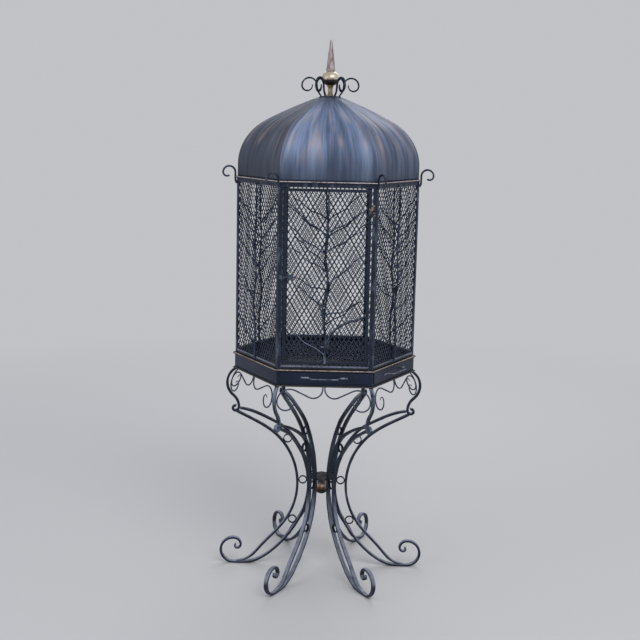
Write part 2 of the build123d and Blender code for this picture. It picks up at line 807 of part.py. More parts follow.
with BuildPart() as hook:
    with BuildSketch(Plane.XZ):
        with BuildLine():
            stem = Line((hook_radius, rim_top), (hook_radius, rim_top + hook_stem))
            JernArc(stem @ 1, stem % 1, hook_bend, -hook_turn)
        trace(line_width=hook_rod)
    extrude(amount=hook_rod / 2, both=True)
with BuildPart() as corner_hooks:
    with PolarLocations(0, sides):
        add(hook.part)
export(corner_hooks.part, "corner_hooks")

with BuildPart() as crown_scroll:
    with BuildSketch(Plane.XZ):
        with BuildLine():
            curl_start = (crown_curl_radius, dome_top + crown_curl_height)
            TangentArc(curl_start, (crown_foot_radius, dome_top), tangent=(0, -1))
            over = JernArc(curl_start, (0, 1), crown_bend, -crown_bend_turn)
            JernArc(over @ 1, over % 1, crown_eye, -crown_eye_turn)
        trace(line_width=crown_bar)
        with Locations((crown_foot_radius, dome_top)):
            Rectangle(6 * crown_bar, crown_bar, align=(Align.CENTER, Align.MAX), mode=Mode.SUBTRACT)
    extrude(amount=crown_bar / 2, both=True)
with BuildPart() as crown_scrolls:
    with PolarLocations(0, sides):
        add(crown_scroll.part)
export(crown_scrolls.part, "crown_scrolls")

pillar_top = dome_top + pillar_height
with BuildPart() as finial_pillar:
    with BuildSketch(Plane.XZ):
        Polygon(
            (0, dome_top),
            (pillar_radius, dome_top),
            (pillar_radius, dome_top + pillar_collar),
            (pillar_waist, dome_top + 2 * pillar_collar),
            (pillar_waist, pillar_top - 2 * pillar_collar),
            (pillar_radius, pillar_top - pillar_collar),
            (pillar_radius, pillar_top),
            (0, pillar_top),
            align=None,
        )
    revolve(axis=Axis.Z)
export(finial_pillar.part, "finial_pillar")

ball_flat = pillar_radius + ball_lip
export(turned_ball(ball_radius, ball_flat, pillar_top, pillar_top + ball_height), "finial_ball")

spike_base = pillar_top + ball_height
step_radius = spike_radius + (spike_tip_radius - spike_radius) * spike_step_height / spike_height
with BuildPart() as finial_spike:
    with BuildSketch(Plane.XZ):
        Polygon(
            (0, spike_base),
            (spike_radius, spike_base),
            (step_radius, spike_base + spike_step_height),
            (step_radius - spike_step, spike_base + spike_step_height + spike_step),
            (spike_tip_radius, spike_base + spike_height - spike_tip_radius),
            (spike_tip_radius / 2, spike_base + spike_height),
            (0, spike_base + spike_height),
            align=None,
        )
    revolve(axis=Axis.Z)
export(finial_spike.part, "finial_spike")

# ---------------------------------------------------------------- perch
perch_foot = cage_floor + perch_sole
with BuildPart() as perch_base:
    with BuildSketch(Plane.XY.offset(cage_floor)):
        RectangleRounded(perch_block_length, perch_block_width, perch_block_corner)
    extrude(amount=perch_block_height)
    chamfer(perch_base.faces().sort_by(Axis.Z)[-1].edges(), perch_block_chamfer)
    with BuildSketch(Plane.XY.offset(perch_foot)):
        with Locations((perch_foot_across, 0)):
            Circle(perch_rod + fit)
    extrude(amount=perch_block_height, mode=Mode.SUBTRACT)
export(perch_base.part, "perch_base")

with BuildPart() as perch_branch:
    with BuildLine(Plane.XZ) as perch_line:
        FilletPolyline(
            (perch_foot_across, perch_foot),
            *[(across, cage_floor + up) for across, up in perch_turns],
            radius=perch_corner,
        )
    with BuildSketch(Plane.XY.offset(perch_foot)):
        with Locations((perch_foot_across, 0)):
            Circle(perch_rod)
    sweep(path=perch_line.wires()[0])
export(perch_branch.part, "perch_branch")
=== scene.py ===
"""Looks of the wrought-iron aviary: forged bars, expanded mesh, sheet dome, paint, light and camera."""

from collections import namedtuple
from math import acos, asin, atan2, ceil, copysign, cos, degrees, dist, pi, radians, sin, sqrt, tan, tau

import bmesh
import bpy
import numpy as np
from mathutils import Matrix, Vector, noise


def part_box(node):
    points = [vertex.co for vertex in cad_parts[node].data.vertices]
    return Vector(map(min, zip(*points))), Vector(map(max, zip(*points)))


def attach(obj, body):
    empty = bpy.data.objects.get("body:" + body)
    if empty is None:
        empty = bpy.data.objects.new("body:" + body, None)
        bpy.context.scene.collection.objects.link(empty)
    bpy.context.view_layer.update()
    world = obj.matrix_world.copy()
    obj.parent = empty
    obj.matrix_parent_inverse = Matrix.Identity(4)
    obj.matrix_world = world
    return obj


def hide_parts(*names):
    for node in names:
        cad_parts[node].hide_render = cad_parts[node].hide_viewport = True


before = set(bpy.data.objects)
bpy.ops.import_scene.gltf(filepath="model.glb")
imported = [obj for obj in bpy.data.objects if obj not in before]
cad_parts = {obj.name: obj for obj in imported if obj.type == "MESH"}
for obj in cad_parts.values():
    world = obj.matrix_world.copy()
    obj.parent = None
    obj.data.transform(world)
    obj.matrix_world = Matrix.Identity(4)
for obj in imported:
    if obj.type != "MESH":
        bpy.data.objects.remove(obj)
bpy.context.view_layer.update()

CAGE = "cage_and_stand"
SIDES = 6
TURN = tau / SIDES
FLAT = cos(TURN / 2)  # from a hexagon's corner radius to the distance of its flats
UP = Vector((0, 0, 1))
AXIS = 0.0004  # radius at which a turned piece closes on its axis

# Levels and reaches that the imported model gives
rim_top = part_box("rim_band")[1].z
base_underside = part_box("base_plate")[0].z
cage_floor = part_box("floor_grille")[1].z
dome_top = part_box("dome_cap")[1].z
door_face = -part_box("door_frame")[0].y


# ---------------- paths
class Path:
    """A line in a plane, grown from a point and a heading in degrees by runs and bends."""

    STEP = 0.004
    MOST_TURN = radians(9)

    def __init__(self, start, heading):
        self.points = [Vector(start)]
        self.heading = radians(heading)

    def run(self, length):
        count = max(1, round(length / self.STEP))
        start = self.points[-1]
        along = Vector((cos(self.heading), sin(self.heading)))
        self.points += [start + along * (length * n / count) for n in range(1, count + 1)]
        return self

    def bend(self, radius, turn):
        """A bend of this radius, to the left where turn is positive."""
        turn = radians(turn)
        way = copysign(1, turn)
        count = max(2, round(abs(turn) / min(self.MOST_TURN, self.STEP / radius * 2)))
        out = self.heading - way * pi / 2
        start = self.points[-1]
        centre = start - radius * Vector((cos(out), sin(out)))
        for n in range(1, count + 1):
            angle = out + turn * n / count
            self.points.append(centre + radius * Vector((cos(angle), sin(angle))))
        self.heading += turn
        return self

    def bends(self, *bends):
        """One bend after another, each given as its radius and turn."""
        for radius, turn in bends:
            self.bend(radius, turn)
        return self

    def bend_to(self, point):
        """The one bend from here, along the heading, to this point."""
        chord = Vector(point) - self.points[-1]
        lean = atan2(chord.y, chord.x) - self.heading
        lean = (lean + pi) % tau - pi
        return self.bend(chord.length / (2 * abs(sin(lean))), degrees(2 * lean))

    def sweep_through(self, points, heading):
        """A smooth line through these points that arrives along this heading, in degrees."""
        knots = np.array([self.points[-1], *map(Vector, points)])
        spans = np.linalg.norm(np.diff(knots, axis=0), axis=1)
        last = len(spans)
        matrix = np.eye(last + 1)
        wanted = np.zeros((last + 1, 2))
        wanted[0] = cos(self.heading), sin(self.heading)
        wanted[last] = cos(radians(heading)), sin(radians(heading))
        for n in range(1, last):
            before, after = spans[n - 1], spans[n]
            matrix[n, n - 1 : n + 2] = after, 2 * (before + after), before
            step_in = (knots[n] - knots[n - 1]) / before
            step_out = (knots[n + 1] - knots[n]) / after
            wanted[n] = 3 * (before * step_out + after * step_in)
        slopes = np.linalg.solve(matrix, wanted)
        for n in range(last):
            count = max(2, round(spans[n] / self.STEP))
            for t in np.linspace(0, 1, count + 1)[1:]:
                spot = (
                    (1 + 2 * t) * (1 - t) ** 2 * knots[n]
                    + t * (1 - t) ** 2 * spans[n] * slopes[n]
                    + t * t * (3 - 2 * t) * knots[n + 1]
                    + t * t * (t - 1) * spans[n] * slopes[n + 1]
                )
                self.points.append(Vector(spot))
        self.heading = radians(heading)
        return self


def radial(points, turn):
    """Points (out, up) in the upright plane that turns this far from +X, and the way across it."""
    out = Vector((cos(turn), sin(turn), 0))
    return [out * p[0] + UP * p[1] for p in points], Vector((-out.y, out.x, 0))


def face_ways(turn):
    """The way out of the face that is turned this far from the door's, and the way along it."""
    return Vector((sin(turn), -cos(turn), 0)), Vector((cos(turn), sin(turn), 0))


def on_face(points, distance, turn=0.0):
    """Points (across, up) on the upright plane that far out, and the way out of it."""
    out, across = face_ways(turn)
    return [out * distance + across * p[0] + UP * p[1] for p in points], out


# ---------------- shapes
def bar_outline(thickness, width, edge=0.0014):
    """Outline of a flat bar with soft edges, as (in the bend's plane, across it)."""
    outline = []
    for corner in range(4):
        middle = radians(45 + 90 * corner)
        centre_u = copysign(thickness / 2 - edge, cos(middle))
        centre_v = copysign(width / 2 - edge, sin(middle))
        for offset, along in ((-45, -0.9), (-45, 0), (0, 0), (45, 0), (45, 0.9)):
            angle = middle + radians(offset)
            u = centre_u + edge * (cos(angle) - along * sin(angle))
            v = centre_v + edge * (sin(angle) + along * cos(angle))
            outline.append((u, v))
    return outline


def circle(radius, count=10):
    """Points (x, y) round a circle."""
    angles = [tau * n / count for n in range(count)]
    return [(radius * cos(angle), radius * sin(angle)) for angle in angles]


HAMMER_MARKS = 45  # how closely the dents of a hammered bar follow each other


class Solid:
    """Vertices and faces of one piece."""

    def __init__(self):
        self.verts = []
        self.faces = []

    def skin(self, rings, closed=False):
        """Adds rings of vertices, equally many in each, with faces between them and over the ends."""
        first, count = len(self.verts), len(rings[0])
        for ring in rings:
            self.verts += ring
        for n in range(len(rings) if closed else len(rings) - 1):
            low, high = first + n * count, first + (n + 1) % len(rings) * count
            for k in range(count):
                k_next = (k + 1) % count
                self.faces.append((low + k, low + k_next, high + k_next, high + k))
        if not closed:
            last = len(self.verts)
            self.faces.append(tuple(range(first + count - 1, first - 1, -1)))
            self.faces.append(tuple(range(last - count, last)))
        return self

    def sweep(self, path, side, outline, scale=None, closed=False, hammer=0.0):
        """Carries an outline along a path that lies in a plane; side is the way across that plane."""
        last = len(path) - 1
        rings = []
        for n, point in enumerate(path):
            if closed:
                ahead, behind = path[(n + 1) % len(path)], path[n - 1]
            else:
                ahead, behind = path[min(n + 1, last)], path[max(n - 1, 0)]
            normal = (ahead - behind).normalized().cross(side)
            thin, narrow = scale(n / last) if scale else (1.0, 1.0)
            dent = 1 + hammer * noise.noise(point * HAMMER_MARKS)
            rings.append(
                [point + normal * (u * thin * dent) + side * (v * narrow * dent) for u, v in outline]
            )
        return self.skin(rings, closed)

    def revolve(self, profile, count=48):
        """Turns (radius, height) points round the upright axis."""
        return self.skin([[Vector((x, y, z)) for x, y in circle(radius, count)] for radius, z in profile])


def as_mesh(bm, name):
    mesh = bpy.data.meshes.new(name)
    bm.to_mesh(mesh)
    bm.free()
    return mesh


def link(name, data):
    made = bpy.data.objects.new(name, data)
    bpy.context.scene.collection.objects.link(made)
    return made


def make(name, solid, material, replaces, body=CAGE, smooth=40):
    """Turns a solid, or a finished mesh, into a piece that rides on a body."""
    if isinstance(solid, bpy.types.Mesh):
        mesh = solid
    else:
        mesh = bpy.data.meshes.new(name)
        mesh.from_pydata([tuple(v) for v in solid.verts], [], solid.faces)
        bm = bmesh.new()
        bm.from_mesh(mesh)
        bmesh.ops.recalc_face_normals(bm, faces=bm.faces)
        bm.to_mesh(mesh)
        bm.free()
    mesh.polygons.foreach_set("use_smooth", [True] * len(mesh.polygons))
    mesh.set_sharp_from_angle(angle=radians(smooth))
    mesh.materials.clear()
    mesh.materials.append(material)
    piece = link(name, mesh)
    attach(piece, body)
    if replaces:
        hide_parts(*replaces)
    return piece


# ---------------- materials
def assign(made, settings):
    for key, value in settings.items():
        setattr(made, key, value)


def modify(piece, kind, **settings):
    assign(piece.modifiers.new(kind.lower(), kind), settings)


class Nodes:
    """The node tree of a material or a world, emptied and built up again by a call for each node."""

    def __init__(self, owner, output):
        owner.use_nodes = True
        self.tree = owner.node_tree
        self.tree.nodes.clear()
        self.output = self.node(output)

    def node(self, kind, inputs=(), **settings):
        made = self.tree.nodes.new(f"ShaderNode{kind}")
        assign(made, settings)
        for key, value in dict(inputs).items():
            self.feed(made.inputs[key], value)
        return made

    def feed(self, socket, value):
        if isinstance(value, bpy.types.NodeSocket):
            self.tree.links.new(value, socket)
        else:
            socket.default_value = value

    def maths(self, operation, first, second):
        return self.node("Math", {0: first, 1: second}, operation=operation).outputs[0]

    def times(self, first, *others):
        for other in others:
            first = self.maths("MULTIPLY", first, other)
        return first

    def blend(self, share, first, second):
        """Shows one shader through another, as the share says."""
        mixed = self.node("MixShader", {0: share, 1: first, 2: second})
        self.feed(self.output.inputs[0], mixed.outputs[0])


class Paint(Nodes):
    """A material, built up from textures in the piece's own space."""

    def __init__(self, name):
        self.material = bpy.data.materials.new(name)
        super().__init__(self.material, "OutputMaterial")
        self.shader = self.node("BsdfPrincipled")
        self.feed(self.output.inputs[0], self.shader.outputs[0])
        self.place = self.node("TexCoord").outputs["Object"]

    def stretched(self, scale, source=None):
        """The place, scaled by this much along each axis."""
        inputs = {"Vector": source or self.place, "Scale": scale}
        return self.node("Mapping", inputs).outputs[0]

    def noise(self, scale, detail=4, roughness=0.55, distortion=0, source=None):
        names = ("Vector", "Scale", "Detail", "Roughness", "Distortion")
        inputs = zip(names, (source or self.place, scale, detail, roughness, distortion))
        return self.node("TexNoise", inputs).outputs["Fac"]

    def ramp(self, value, *stops):
        """A ramp through (position, colour or grey) stops."""
        made = self.node("ValToRGB", {"Fac": value})
        ramp = made.color_ramp
        while len(ramp.elements) < len(stops):
            ramp.elements.new(0.5)
        for element, (position, colour) in zip(ramp.elements, stops):
            if not isinstance(colour, tuple):
                colour = (colour, colour, colour)
            element.position = position
            element.color = (*colour, 1)
        return made.outputs["Color"]

    def mix(self, share, first, second):
        made = self.node("Mix", data_type="RGBA")
        self.feed(made.inputs["Factor"], share)
        for socket, colour in ((made.inputs["A"], first), (made.inputs["B"], second)):
            self.feed(socket, (*colour, 1) if isinstance(colour, tuple) else colour)
        return made.outputs["Result"]

    def rise(self, value, start, end, most=1):
        """A mask that grows from nothing, where the value is start, to its most, where it is end."""
        return self.ramp(value, (start, 0), (end, most))

    def over(self, base, coat, value, start, end, most=1):
        """Lays a coat over a base, thickest where the value is high."""
        return self.mix(self.rise(value, start, end, most), base, coat)

    def edges(self, low, high):
        """A mask of the raised edges on a finely divided piece."""
        pointiness = self.node("NewGeometry").outputs["Pointiness"]
        return self.rise(pointiness, low, high)

    def lips(self, radius):
        """A mask of the edges on a piece with large faces."""
        rounded = self.node("Bevel", {"Radius": radius}, samples=6).outputs[0]
        flat = self.node("NewGeometry").outputs["True Normal"]
        match = self.node("VectorMath", {0: rounded, 1: flat}, operation="DOT_PRODUCT")
        return self.ramp(match.outputs["Value"], (0.8, 1), (0.985, 0))

    def bump(self, *layers):
        """Layers of (height, strength, distance in metres)."""
        normal = None
        for height, strength, distance in layers:
            inputs = {"Height": height, "Strength": strength, "Distance": distance}
            made = self.node("Bump", inputs)
            if normal:
                self.feed(made.inputs["Normal"], normal)
            normal = made.outputs[0]
        self.feed(self.shader.inputs["Normal"], normal)

    def height(self):
        """How far up the part this place is, in metres."""
        return self.node("SeparateXYZ", {"Vector": self.place}).outputs["Z"]

    def share_of(self, node):
        """How far up this place is between the lowest and the highest level of a CAD node."""
        low, high = (corner.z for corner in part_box(node))
        return self.maths("DIVIDE", self.maths("SUBTRACT", self.height(), low), high - low)

    def upward(self):
        """How far a face looks up: nothing for an underside, a half for an upright one, one for a top."""
        normal = self.node("NewGeometry").outputs["Normal"]
        level = self.node("SeparateXYZ", {"Vector": normal}).outputs["Z"]
        return self.maths("ADD", self.times(level, 0.5), 0.5)

    def finish(self, colour, roughness, metallic=0, specular=0.5, tint=(1, 1, 1)):
        names = ("Base Color", "Roughness", "Metallic", "Specular IOR Level", "Specular Tint")
        for name, value in zip(names, (colour, roughness, metallic, specular, (*tint, 1))):
            self.feed(self.shader.inputs[name], value)
        return self.material


SOOT = (0.005, 0.006, 0.011)
SLATE = (0.016, 0.021, 0.036)
BRUSHED_AND_HIGHLIT = (0.072, 0.09, 0.138)
DUST_AND_HIGHLIGHT = (0.215, 0.228, 0.295)
COPPER = (0.34, 0.225, 0.185)
BLUE_SHEEN = (0.6, 0.74, 1)
BRUSH_AND_HIGHLIGHT_SLOPES = ((0.15, 0.15), (0.5, 0.75), (0.75, 1))  # how much brushing, and painted highlight for light from above, shows on a face that looks up


def forged_iron(
    name,
    cover=0.4,
    rubbed=BRUSHED_AND_HIGHLIT,
    lips=None,
    dusty_lit_and_shaded=False,
    coppered_above=None,
    matt=False,
    slopes=BRUSH_AND_HIGHLIGHT_SLOPES,
):
    """Near-black paint, dry-brushed blue-grey where it stands proud; on faces that look up the brushing and a
    bluish tone are also painted highlight.
    """
    paint = Paint(name)
    proud = paint.lips(lips) if lips else paint.edges(0.52, 0.6)
    upward = paint.upward()
    broad = paint.noise(7, 5)
    drag = paint.noise(60, 6, 0.65, source=paint.stretched((1, 1, 0.35)))
    # painted highlight: faces that look up get the bluish tone and the brushing, as if lit from above
    lit_from_above = paint.ramp(upward, *slopes)
    bluish = paint.times(lit_from_above, paint.rise(broad, 0.35, 0.66, 0.3 if matt else 1))
    brush_and_highlight = paint.times(lit_from_above, paint.rise(drag, 1 - cover, 1.15 - cover, 0.9))
    # worn holds the dry-brushing together with the painted highlight on the tops
    worn = paint.mix(brush_and_highlight, paint.mix(bluish, SOOT, SLATE), rubbed)
    if dusty_lit_and_shaded:
        # low down, faces that look up get a dusting and painted highlight
        top = paint.rise(upward, 0.505, 0.62, 0.95)
        low = paint.ramp(paint.height(), (0.2, 1), (0.4, 0.12))
        dust_and_highlight = paint.times(top, low, paint.ramp(drag, (0.32, 0.45), (0.56, 1)))
        # painted shade: the upper legs, under the cage, turn near-black
        shaded = paint.over(worn, SOOT, paint.height(), 0.34, 0.5, 0.45)
        worn = paint.mix(dust_and_highlight, shaded, DUST_AND_HIGHLIGHT)
    # lighter edges: worn paint, and painted highlight along them
    edge = paint.times(proud, paint.rise(drag, 0.38, 0.6, 0.9))
    colour = paint.mix(edge, worn, tuple(c * 1.9 for c in rubbed))
    if coppered_above:
        above = paint.maths("SUBTRACT", paint.height(), coppered_above)
        patch = paint.rise(paint.noise(75, 3), 0.49, 0.6, 0.85)
        colour = paint.mix(paint.times(paint.rise(above, 0, 0.05), patch), colour, COPPER)
    paint.bump((paint.noise(130, 3), 0.35, 0.0008), (paint.noise(520, 2), 0.2, 0.0003))
    smooth, rough, specular, metallic = (0.62, 0.78, 0.22, 0) if matt else (0.34, 0.56, 0.5, 0.1)
    gloss = paint.ramp(drag, (0.3, rough), (0.7, smooth))
    return paint.finish(colour, gloss, metallic, specular, BLUE_SHEEN)


def mesh_paint(name, share=1):
    """Satin paint on the expanded mesh, in darker and lighter patches and worn in fine grains."""
    paint = Paint(name)
    patches = paint.noise(10, 4)
    grain = paint.noise(240, 3)
    tones = ((0.008, 0.011, 0.021), (0.02, 0.027, 0.05), (0.072, 0.09, 0.14))
    # share below one darkens the paint, as painted shade on the cage floor
    dark, light, bare = (tuple(c * share for c in tone) for tone in tones)
    colour = paint.over(dark, light, patches, 0.35, 0.7)
    colour = paint.over(colour, bare, grain, 0.5, 0.7, 0.6)
    paint.bump((grain, 0.3, 0.0003))
    gloss = paint.ramp(patches, (0.3, 0.5), (0.7, 0.36))
    return paint.finish(colour, gloss, 0.2, 0.5 * share, BLUE_SHEEN)


def sheet_paint():
    """Dark blue-black paint on the base, rubbed through to copper at its edges."""
    paint = Paint("base_sheet_paint")
    broad = paint.noise(5, 5, 0.6)
    streak = paint.noise(26, 5, 0.6, source=paint.stretched((1, 1, 4)))
    colour = paint.over((0.006, 0.008, 0.019), (0.015, 0.02, 0.043), broad, 0.35, 0.68)
    colour = paint.over(colour, (0.042, 0.05, 0.078), streak, 0.58, 0.8, 0.3)
    rub = paint.times(paint.lips(0.0008), paint.ramp(streak, (0.35, 0.1), (0.6, 0.8)))
    colour = paint.mix(rub, colour, (0.22, 0.185, 0.165))
    paint.bump((streak, 0.12, 0.0006), (paint.noise(420, 2), 0.12, 0.0002))
    return paint.finish(colour, paint.ramp(broad, (0.3, 0.46), (0.7, 0.34)), 0.1, 0.4, BLUE_SHEEN)


def trim_paint(node, line, low, high):
    """Dark paint on a moulding, with one bright line between two shares of its height: worn metal on the
    mouldings, a painted highlight along the top edge of the rails.
    """
    paint = Paint(f"{node}_paint")
    fade = 0.08
    stops = ((low - fade, 0), (low, 1), (high, 1), (min(high + fade, 1), 0))
    band = paint.ramp(paint.share_of(node), *stops)
    broad = paint.noise(9, 5, 0.6)
    fine = paint.noise(150, 4, 0.6)
    wear_and_highlight = paint.ramp(paint.mix(0.4, broad, fine), (0.36, 0.35), (0.52, 1))
    body = paint.over((0.007, 0.008, 0.014), (0.04, 0.036, 0.04), broad, 0.4, 0.7, 0.6)
    # the bright line: worn metal on the mouldings, painted highlight on the rails
    metal = paint.over(tuple(c * 0.55 for c in line), line, fine, 0.35, 0.6)
    side = paint.ramp(paint.upward(), (0.92, 1), (0.985, 0))
    paint.bump((fine, 0.25, 0.0004))
    return paint.finish(paint.mix(paint.times(band, side, wear_and_highlight), body, metal), 0.42, 0.25, 0.45)


def roof_paint():
    """Blue-grey patina dragged down the gores, with copper showing through in long patches, and painted shade
    on the gores that face away from the light.
    """
    paint = Paint("roof_sheet_paint")
    gore = paint.node("Attribute", attribute_name="gore").outputs["Vector"]
    tone = paint.node("Attribute", attribute_name="tone").outputs["Fac"]
    across, up, _ = paint.node("SeparateXYZ", {"Vector": gore}).outputs
    broad = paint.noise(1, 3, 0.5, 0.35, paint.stretched((2.1, 1.1, 1), gore))
    streak = paint.noise(1, 5, 0.62, 0.25, paint.stretched((7, 1.2, 1), gore))
    hair = paint.noise(1, 3, 0.6, 0, paint.stretched((40, 4, 1), gore))
    colour = paint.ramp(
        paint.mix(0.5, broad, streak),
        (0.35, (0.036, 0.047, 0.078)),
        (0.45, (0.092, 0.122, 0.205)),
        (0.53, (0.16, 0.21, 0.335)),
        (0.64, (0.27, 0.34, 0.49)),
    )
    colour = paint.over(colour, (0.045, 0.056, 0.08), hair, 0.45, 0.75, 0.4)
    shade = paint.over((0.029, 0.029, 0.035), (0.056, 0.052, 0.057), broad, 0.35, 0.6)
    # painted shade: gores that face away from the light take the shade colour
    colour = paint.mix(paint.ramp(tone, (0.4, 0.72), (1, 0)), colour, shade)
    islands = paint.noise(1, 2, 0.5, 0.2, paint.stretched((4.2, 2.2, 1), gore))
    copper = paint.times(
        paint.rise(islands, 0.51, 0.7, 0.78),
        paint.ramp(up, (0.1, 0), (0.3, 1), (0.55, 1), (0.85, 0)),
        # less copper shows on the gores in painted shade
        paint.ramp(tone, (0.4, 0.76), (0.9, 1)),
    )
    colour = paint.mix(copper, colour, (0.36, 0.262, 0.225))
    colour = paint.over(colour, (0.048, 0.052, 0.068), up, 0.74, 1, 0.7)
    colour = paint.mix(paint.ramp(up, (0, 0.72), (0.3, 0)), colour, (0.026, 0.031, 0.044))
    rub = paint.times(
        paint.rise(paint.maths("ABSOLUTE", across, 0), 0.95, 0.99),
        paint.ramp(up, (0.05, 0.15), (0.45, 1)),
        paint.ramp(hair, (0.35, 0.05), (0.65, 0.7)),
    )
    colour = paint.mix(rub, colour, (0.24, 0.25, 0.32))
    paint.bump((streak, 0.1, 0.0012), (hair, 0.12, 0.0003))
    return paint.finish(colour, paint.ramp(streak, (0.3, 0.6), (0.7, 0.44)), 0.15, 0.4, BLUE_SHEEN)


def gilt(name, pale, worn, metallic=0.55, gloss=0.34, shaded_below=None):
    """Worn gold leaf, with painted shade on the lower part of the node that the last argument names."""
    paint = Paint(name)
    broad = paint.noise(42, 5, 0.6)
    fine = paint.noise(260, 4, 0.6)
    colour = paint.over(worn, pale, broad, 0.42, 0.62)
    colour = paint.over(colour, tuple(c * 0.35 for c in worn), fine, 0.58, 0.72, 0.8)
    if shaded_below:
        share = paint.share_of(shaded_below)
        # painted shade: near-black on the lower part of the node
        colour = paint.mix(paint.ramp(share, (0.36, 0.93), (0.48, 0)), colour, (0.02, 0.015, 0.011))
    paint.bump((broad, 0.25, 0.001), (fine, 0.2, 0.0003))
    return paint.finish(colour, paint.ramp(fine, (0.3, gloss), (0.7, gloss + 0.2)), metallic, 0.5)


def spike_paint():
    """Weathered copper, streaked along the spike."""
    paint = Paint("spike_copper")
    streak = paint.noise(110, 5, 0.6, source=paint.stretched((1, 1, 0.25)))
    fine = paint.noise(380, 3)
    colour = paint.over((0.2, 0.15, 0.14), (0.44, 0.375, 0.375), streak, 0.38, 0.6)
    colour = paint.over(colour, (0.05, 0.05, 0.055), fine, 0.6, 0.75, 0.6)
    paint.bump((streak, 0.3, 0.0008), (fine, 0.2, 0.0003))
    return paint.finish(colour, 0.5, 0.4, 0.5)


def ball_paint():
    """A copper ball, with a painted highlight above and painted shade and a painted reflection of dark ground
    below.
    """
    paint = Paint("ball_copper")
    patch = paint.noise(55, 4, 0.6)
    stray = paint.times(paint.maths("SUBTRACT", patch, 0.5), 0.35)
    # painted light by height: near-black painted shade at the bottom, a pale painted highlight at the top
    colour = paint.ramp(
        paint.maths("ADD", paint.share_of("waist_ball"), stray),
        (0.34, (0.016, 0.011, 0.009)),
        (0.54, (0.17, 0.085, 0.045)),
        (0.72, (0.46, 0.3, 0.24)),
        (0.9, (0.66, 0.54, 0.52)),
    )
    paint.bump((paint.noise(40, 2), 0.2, 0.001))
    return paint.finish(colour, paint.ramp(patch, (0.3, 0.36), (0.7, 0.5)), 0.6, 0.5)


def pull_paint():
    """Iron that hands have worn nearly bare, painted light enough to stand also for the highlights along the
    thin rod.
    """
    paint = Paint("pull_iron")
    fine = paint.noise(60, 4, 0.6)
    # worn iron, lightened further as painted highlight
    colour = paint.over((0.06, 0.07, 0.105), (0.24, 0.255, 0.315), fine, 0.4, 0.62)
    paint.bump((paint.noise(400, 2), 0.2, 0.0002))
    return paint.finish(colour, 0.38, 0.3, 0.5)


iron = forged_iron("forged_iron")
bright_iron = forged_iron("forged_iron_brushed", cover=0.62, rubbed=(0.1, 0.12, 0.175))
# a dusting and painted highlight on the low tops, painted shade on the upper legs
leg_iron = forged_iron("forged_iron_legs", cover=0.42, dusty_lit_and_shaded=True)
# a lighter copy of the leg paint: painted highlight on the front brackets, which face the light; the perch
# takes it too
lit_bracket_iron = forged_iron(
    "forged_iron_brackets_lit",
    cover=0.66,
    rubbed=(0.165, 0.195, 0.265),
    slopes=((0.36, 0.05), (0.5, 0.55), (0.62, 1)),
)
dark_iron = forged_iron("forged_iron_dark", cover=0.14, matt=True)
tree_iron = forged_iron("tree_iron", cover=0.06, matt=True)
waist_iron = forged_iron("waist_iron", cover=0.5, rubbed=(0.095, 0.076, 0.068), matt=True)
# wide light edges on the posts: worn paint and painted highlight
frame_iron = forged_iron("frame_iron", cover=0.46, rubbed=(0.105, 0.125, 0.185), lips=0.0028)
# the pale line along the rails' top edge is a painted highlight
rail_iron = trim_paint("bottom_rails", (0.19, 0.22, 0.31), 0.6, 0.9)
# little brushing: the door frame is near-black as painted shade on its stiles, and its light edges are partly
# painted highlight
door_iron = forged_iron("door_iron", cover=0.14, lips=0.0012)
fittings = forged_iron("fittings_iron", cover=0.56, rubbed=(0.11, 0.13, 0.19), lips=0.0007)
hinge_iron = forged_iron("hinge_iron", cover=0.5, lips=0.0007, coppered_above=1.1)
pull_iron = pull_paint()
mesh_iron = mesh_paint("mesh_iron")
# a darker copy of the mesh paint: painted shade on the cage floor
floor_iron = mesh_paint("floor_mesh_iron_shaded", 0.8)
base_paint = sheet_paint()
rim_trim = trim_paint("rim_band", (0.54, 0.485, 0.49), 0.46, 0.84)
base_trim = trim_paint("base_moulding", (0.47, 0.375, 0.315), 0.56, 0.84)
plate_trim = trim_paint("base_plate", (0.08, 0.066, 0.054), 0.7, 0.9)
roof = roof_paint()
# the finial ball, with painted shade on its lower part
pale_gold = gilt("worn_gold", (0.82, 0.75, 0.64), (0.5, 0.42, 0.31), 0.75, 0.24, "finial_ball")
dull_gold = gilt("dull_gold", (0.4, 0.3, 0.18), (0.16, 0.12, 0.08))
spike_copper = spike_paint()
ball_copper = ball_paint()

# ---------------- stand
BAR = 0.009  # thickness of the leg bars, in the plane of the bend
BAR_WIDTH = 0.014
BRACKET_WIDTH = 0.012
FOOT_REACH = 0.322
FOOT_FLAT = 0.039
FOOT_SCROLL = ((0.047, 180), (0.027, 85), (0.014, 95), (0.008, 150))  # radius and turn of each bend
BRACKET_TOP = 0.314
ELBOW_CURL = ((0.014, 80), (0.009, 215))
WAIST = 0.313
LEG_ARC = (0.349, WAIST, 0.3)  # centre and radius of the leg bar's bend
LEG_SPAN = (140, 73)  # where that bend starts on its circle, and how far it turns
LEG_SHIN = (0.178, 0.054)
STAY_ARC = (0.344, WAIST, 0.255)
STAY_SPAN = (138, 76)
STAY_SHIN = (0.221, 0.069)
STAY_HEADING = 208.8  # at its top, in degrees
RING_SEATS = (142.5, 177.0, 209.5)  # degrees round the bends
RING_BAR = (0.0036, 0.009, 0.0012)

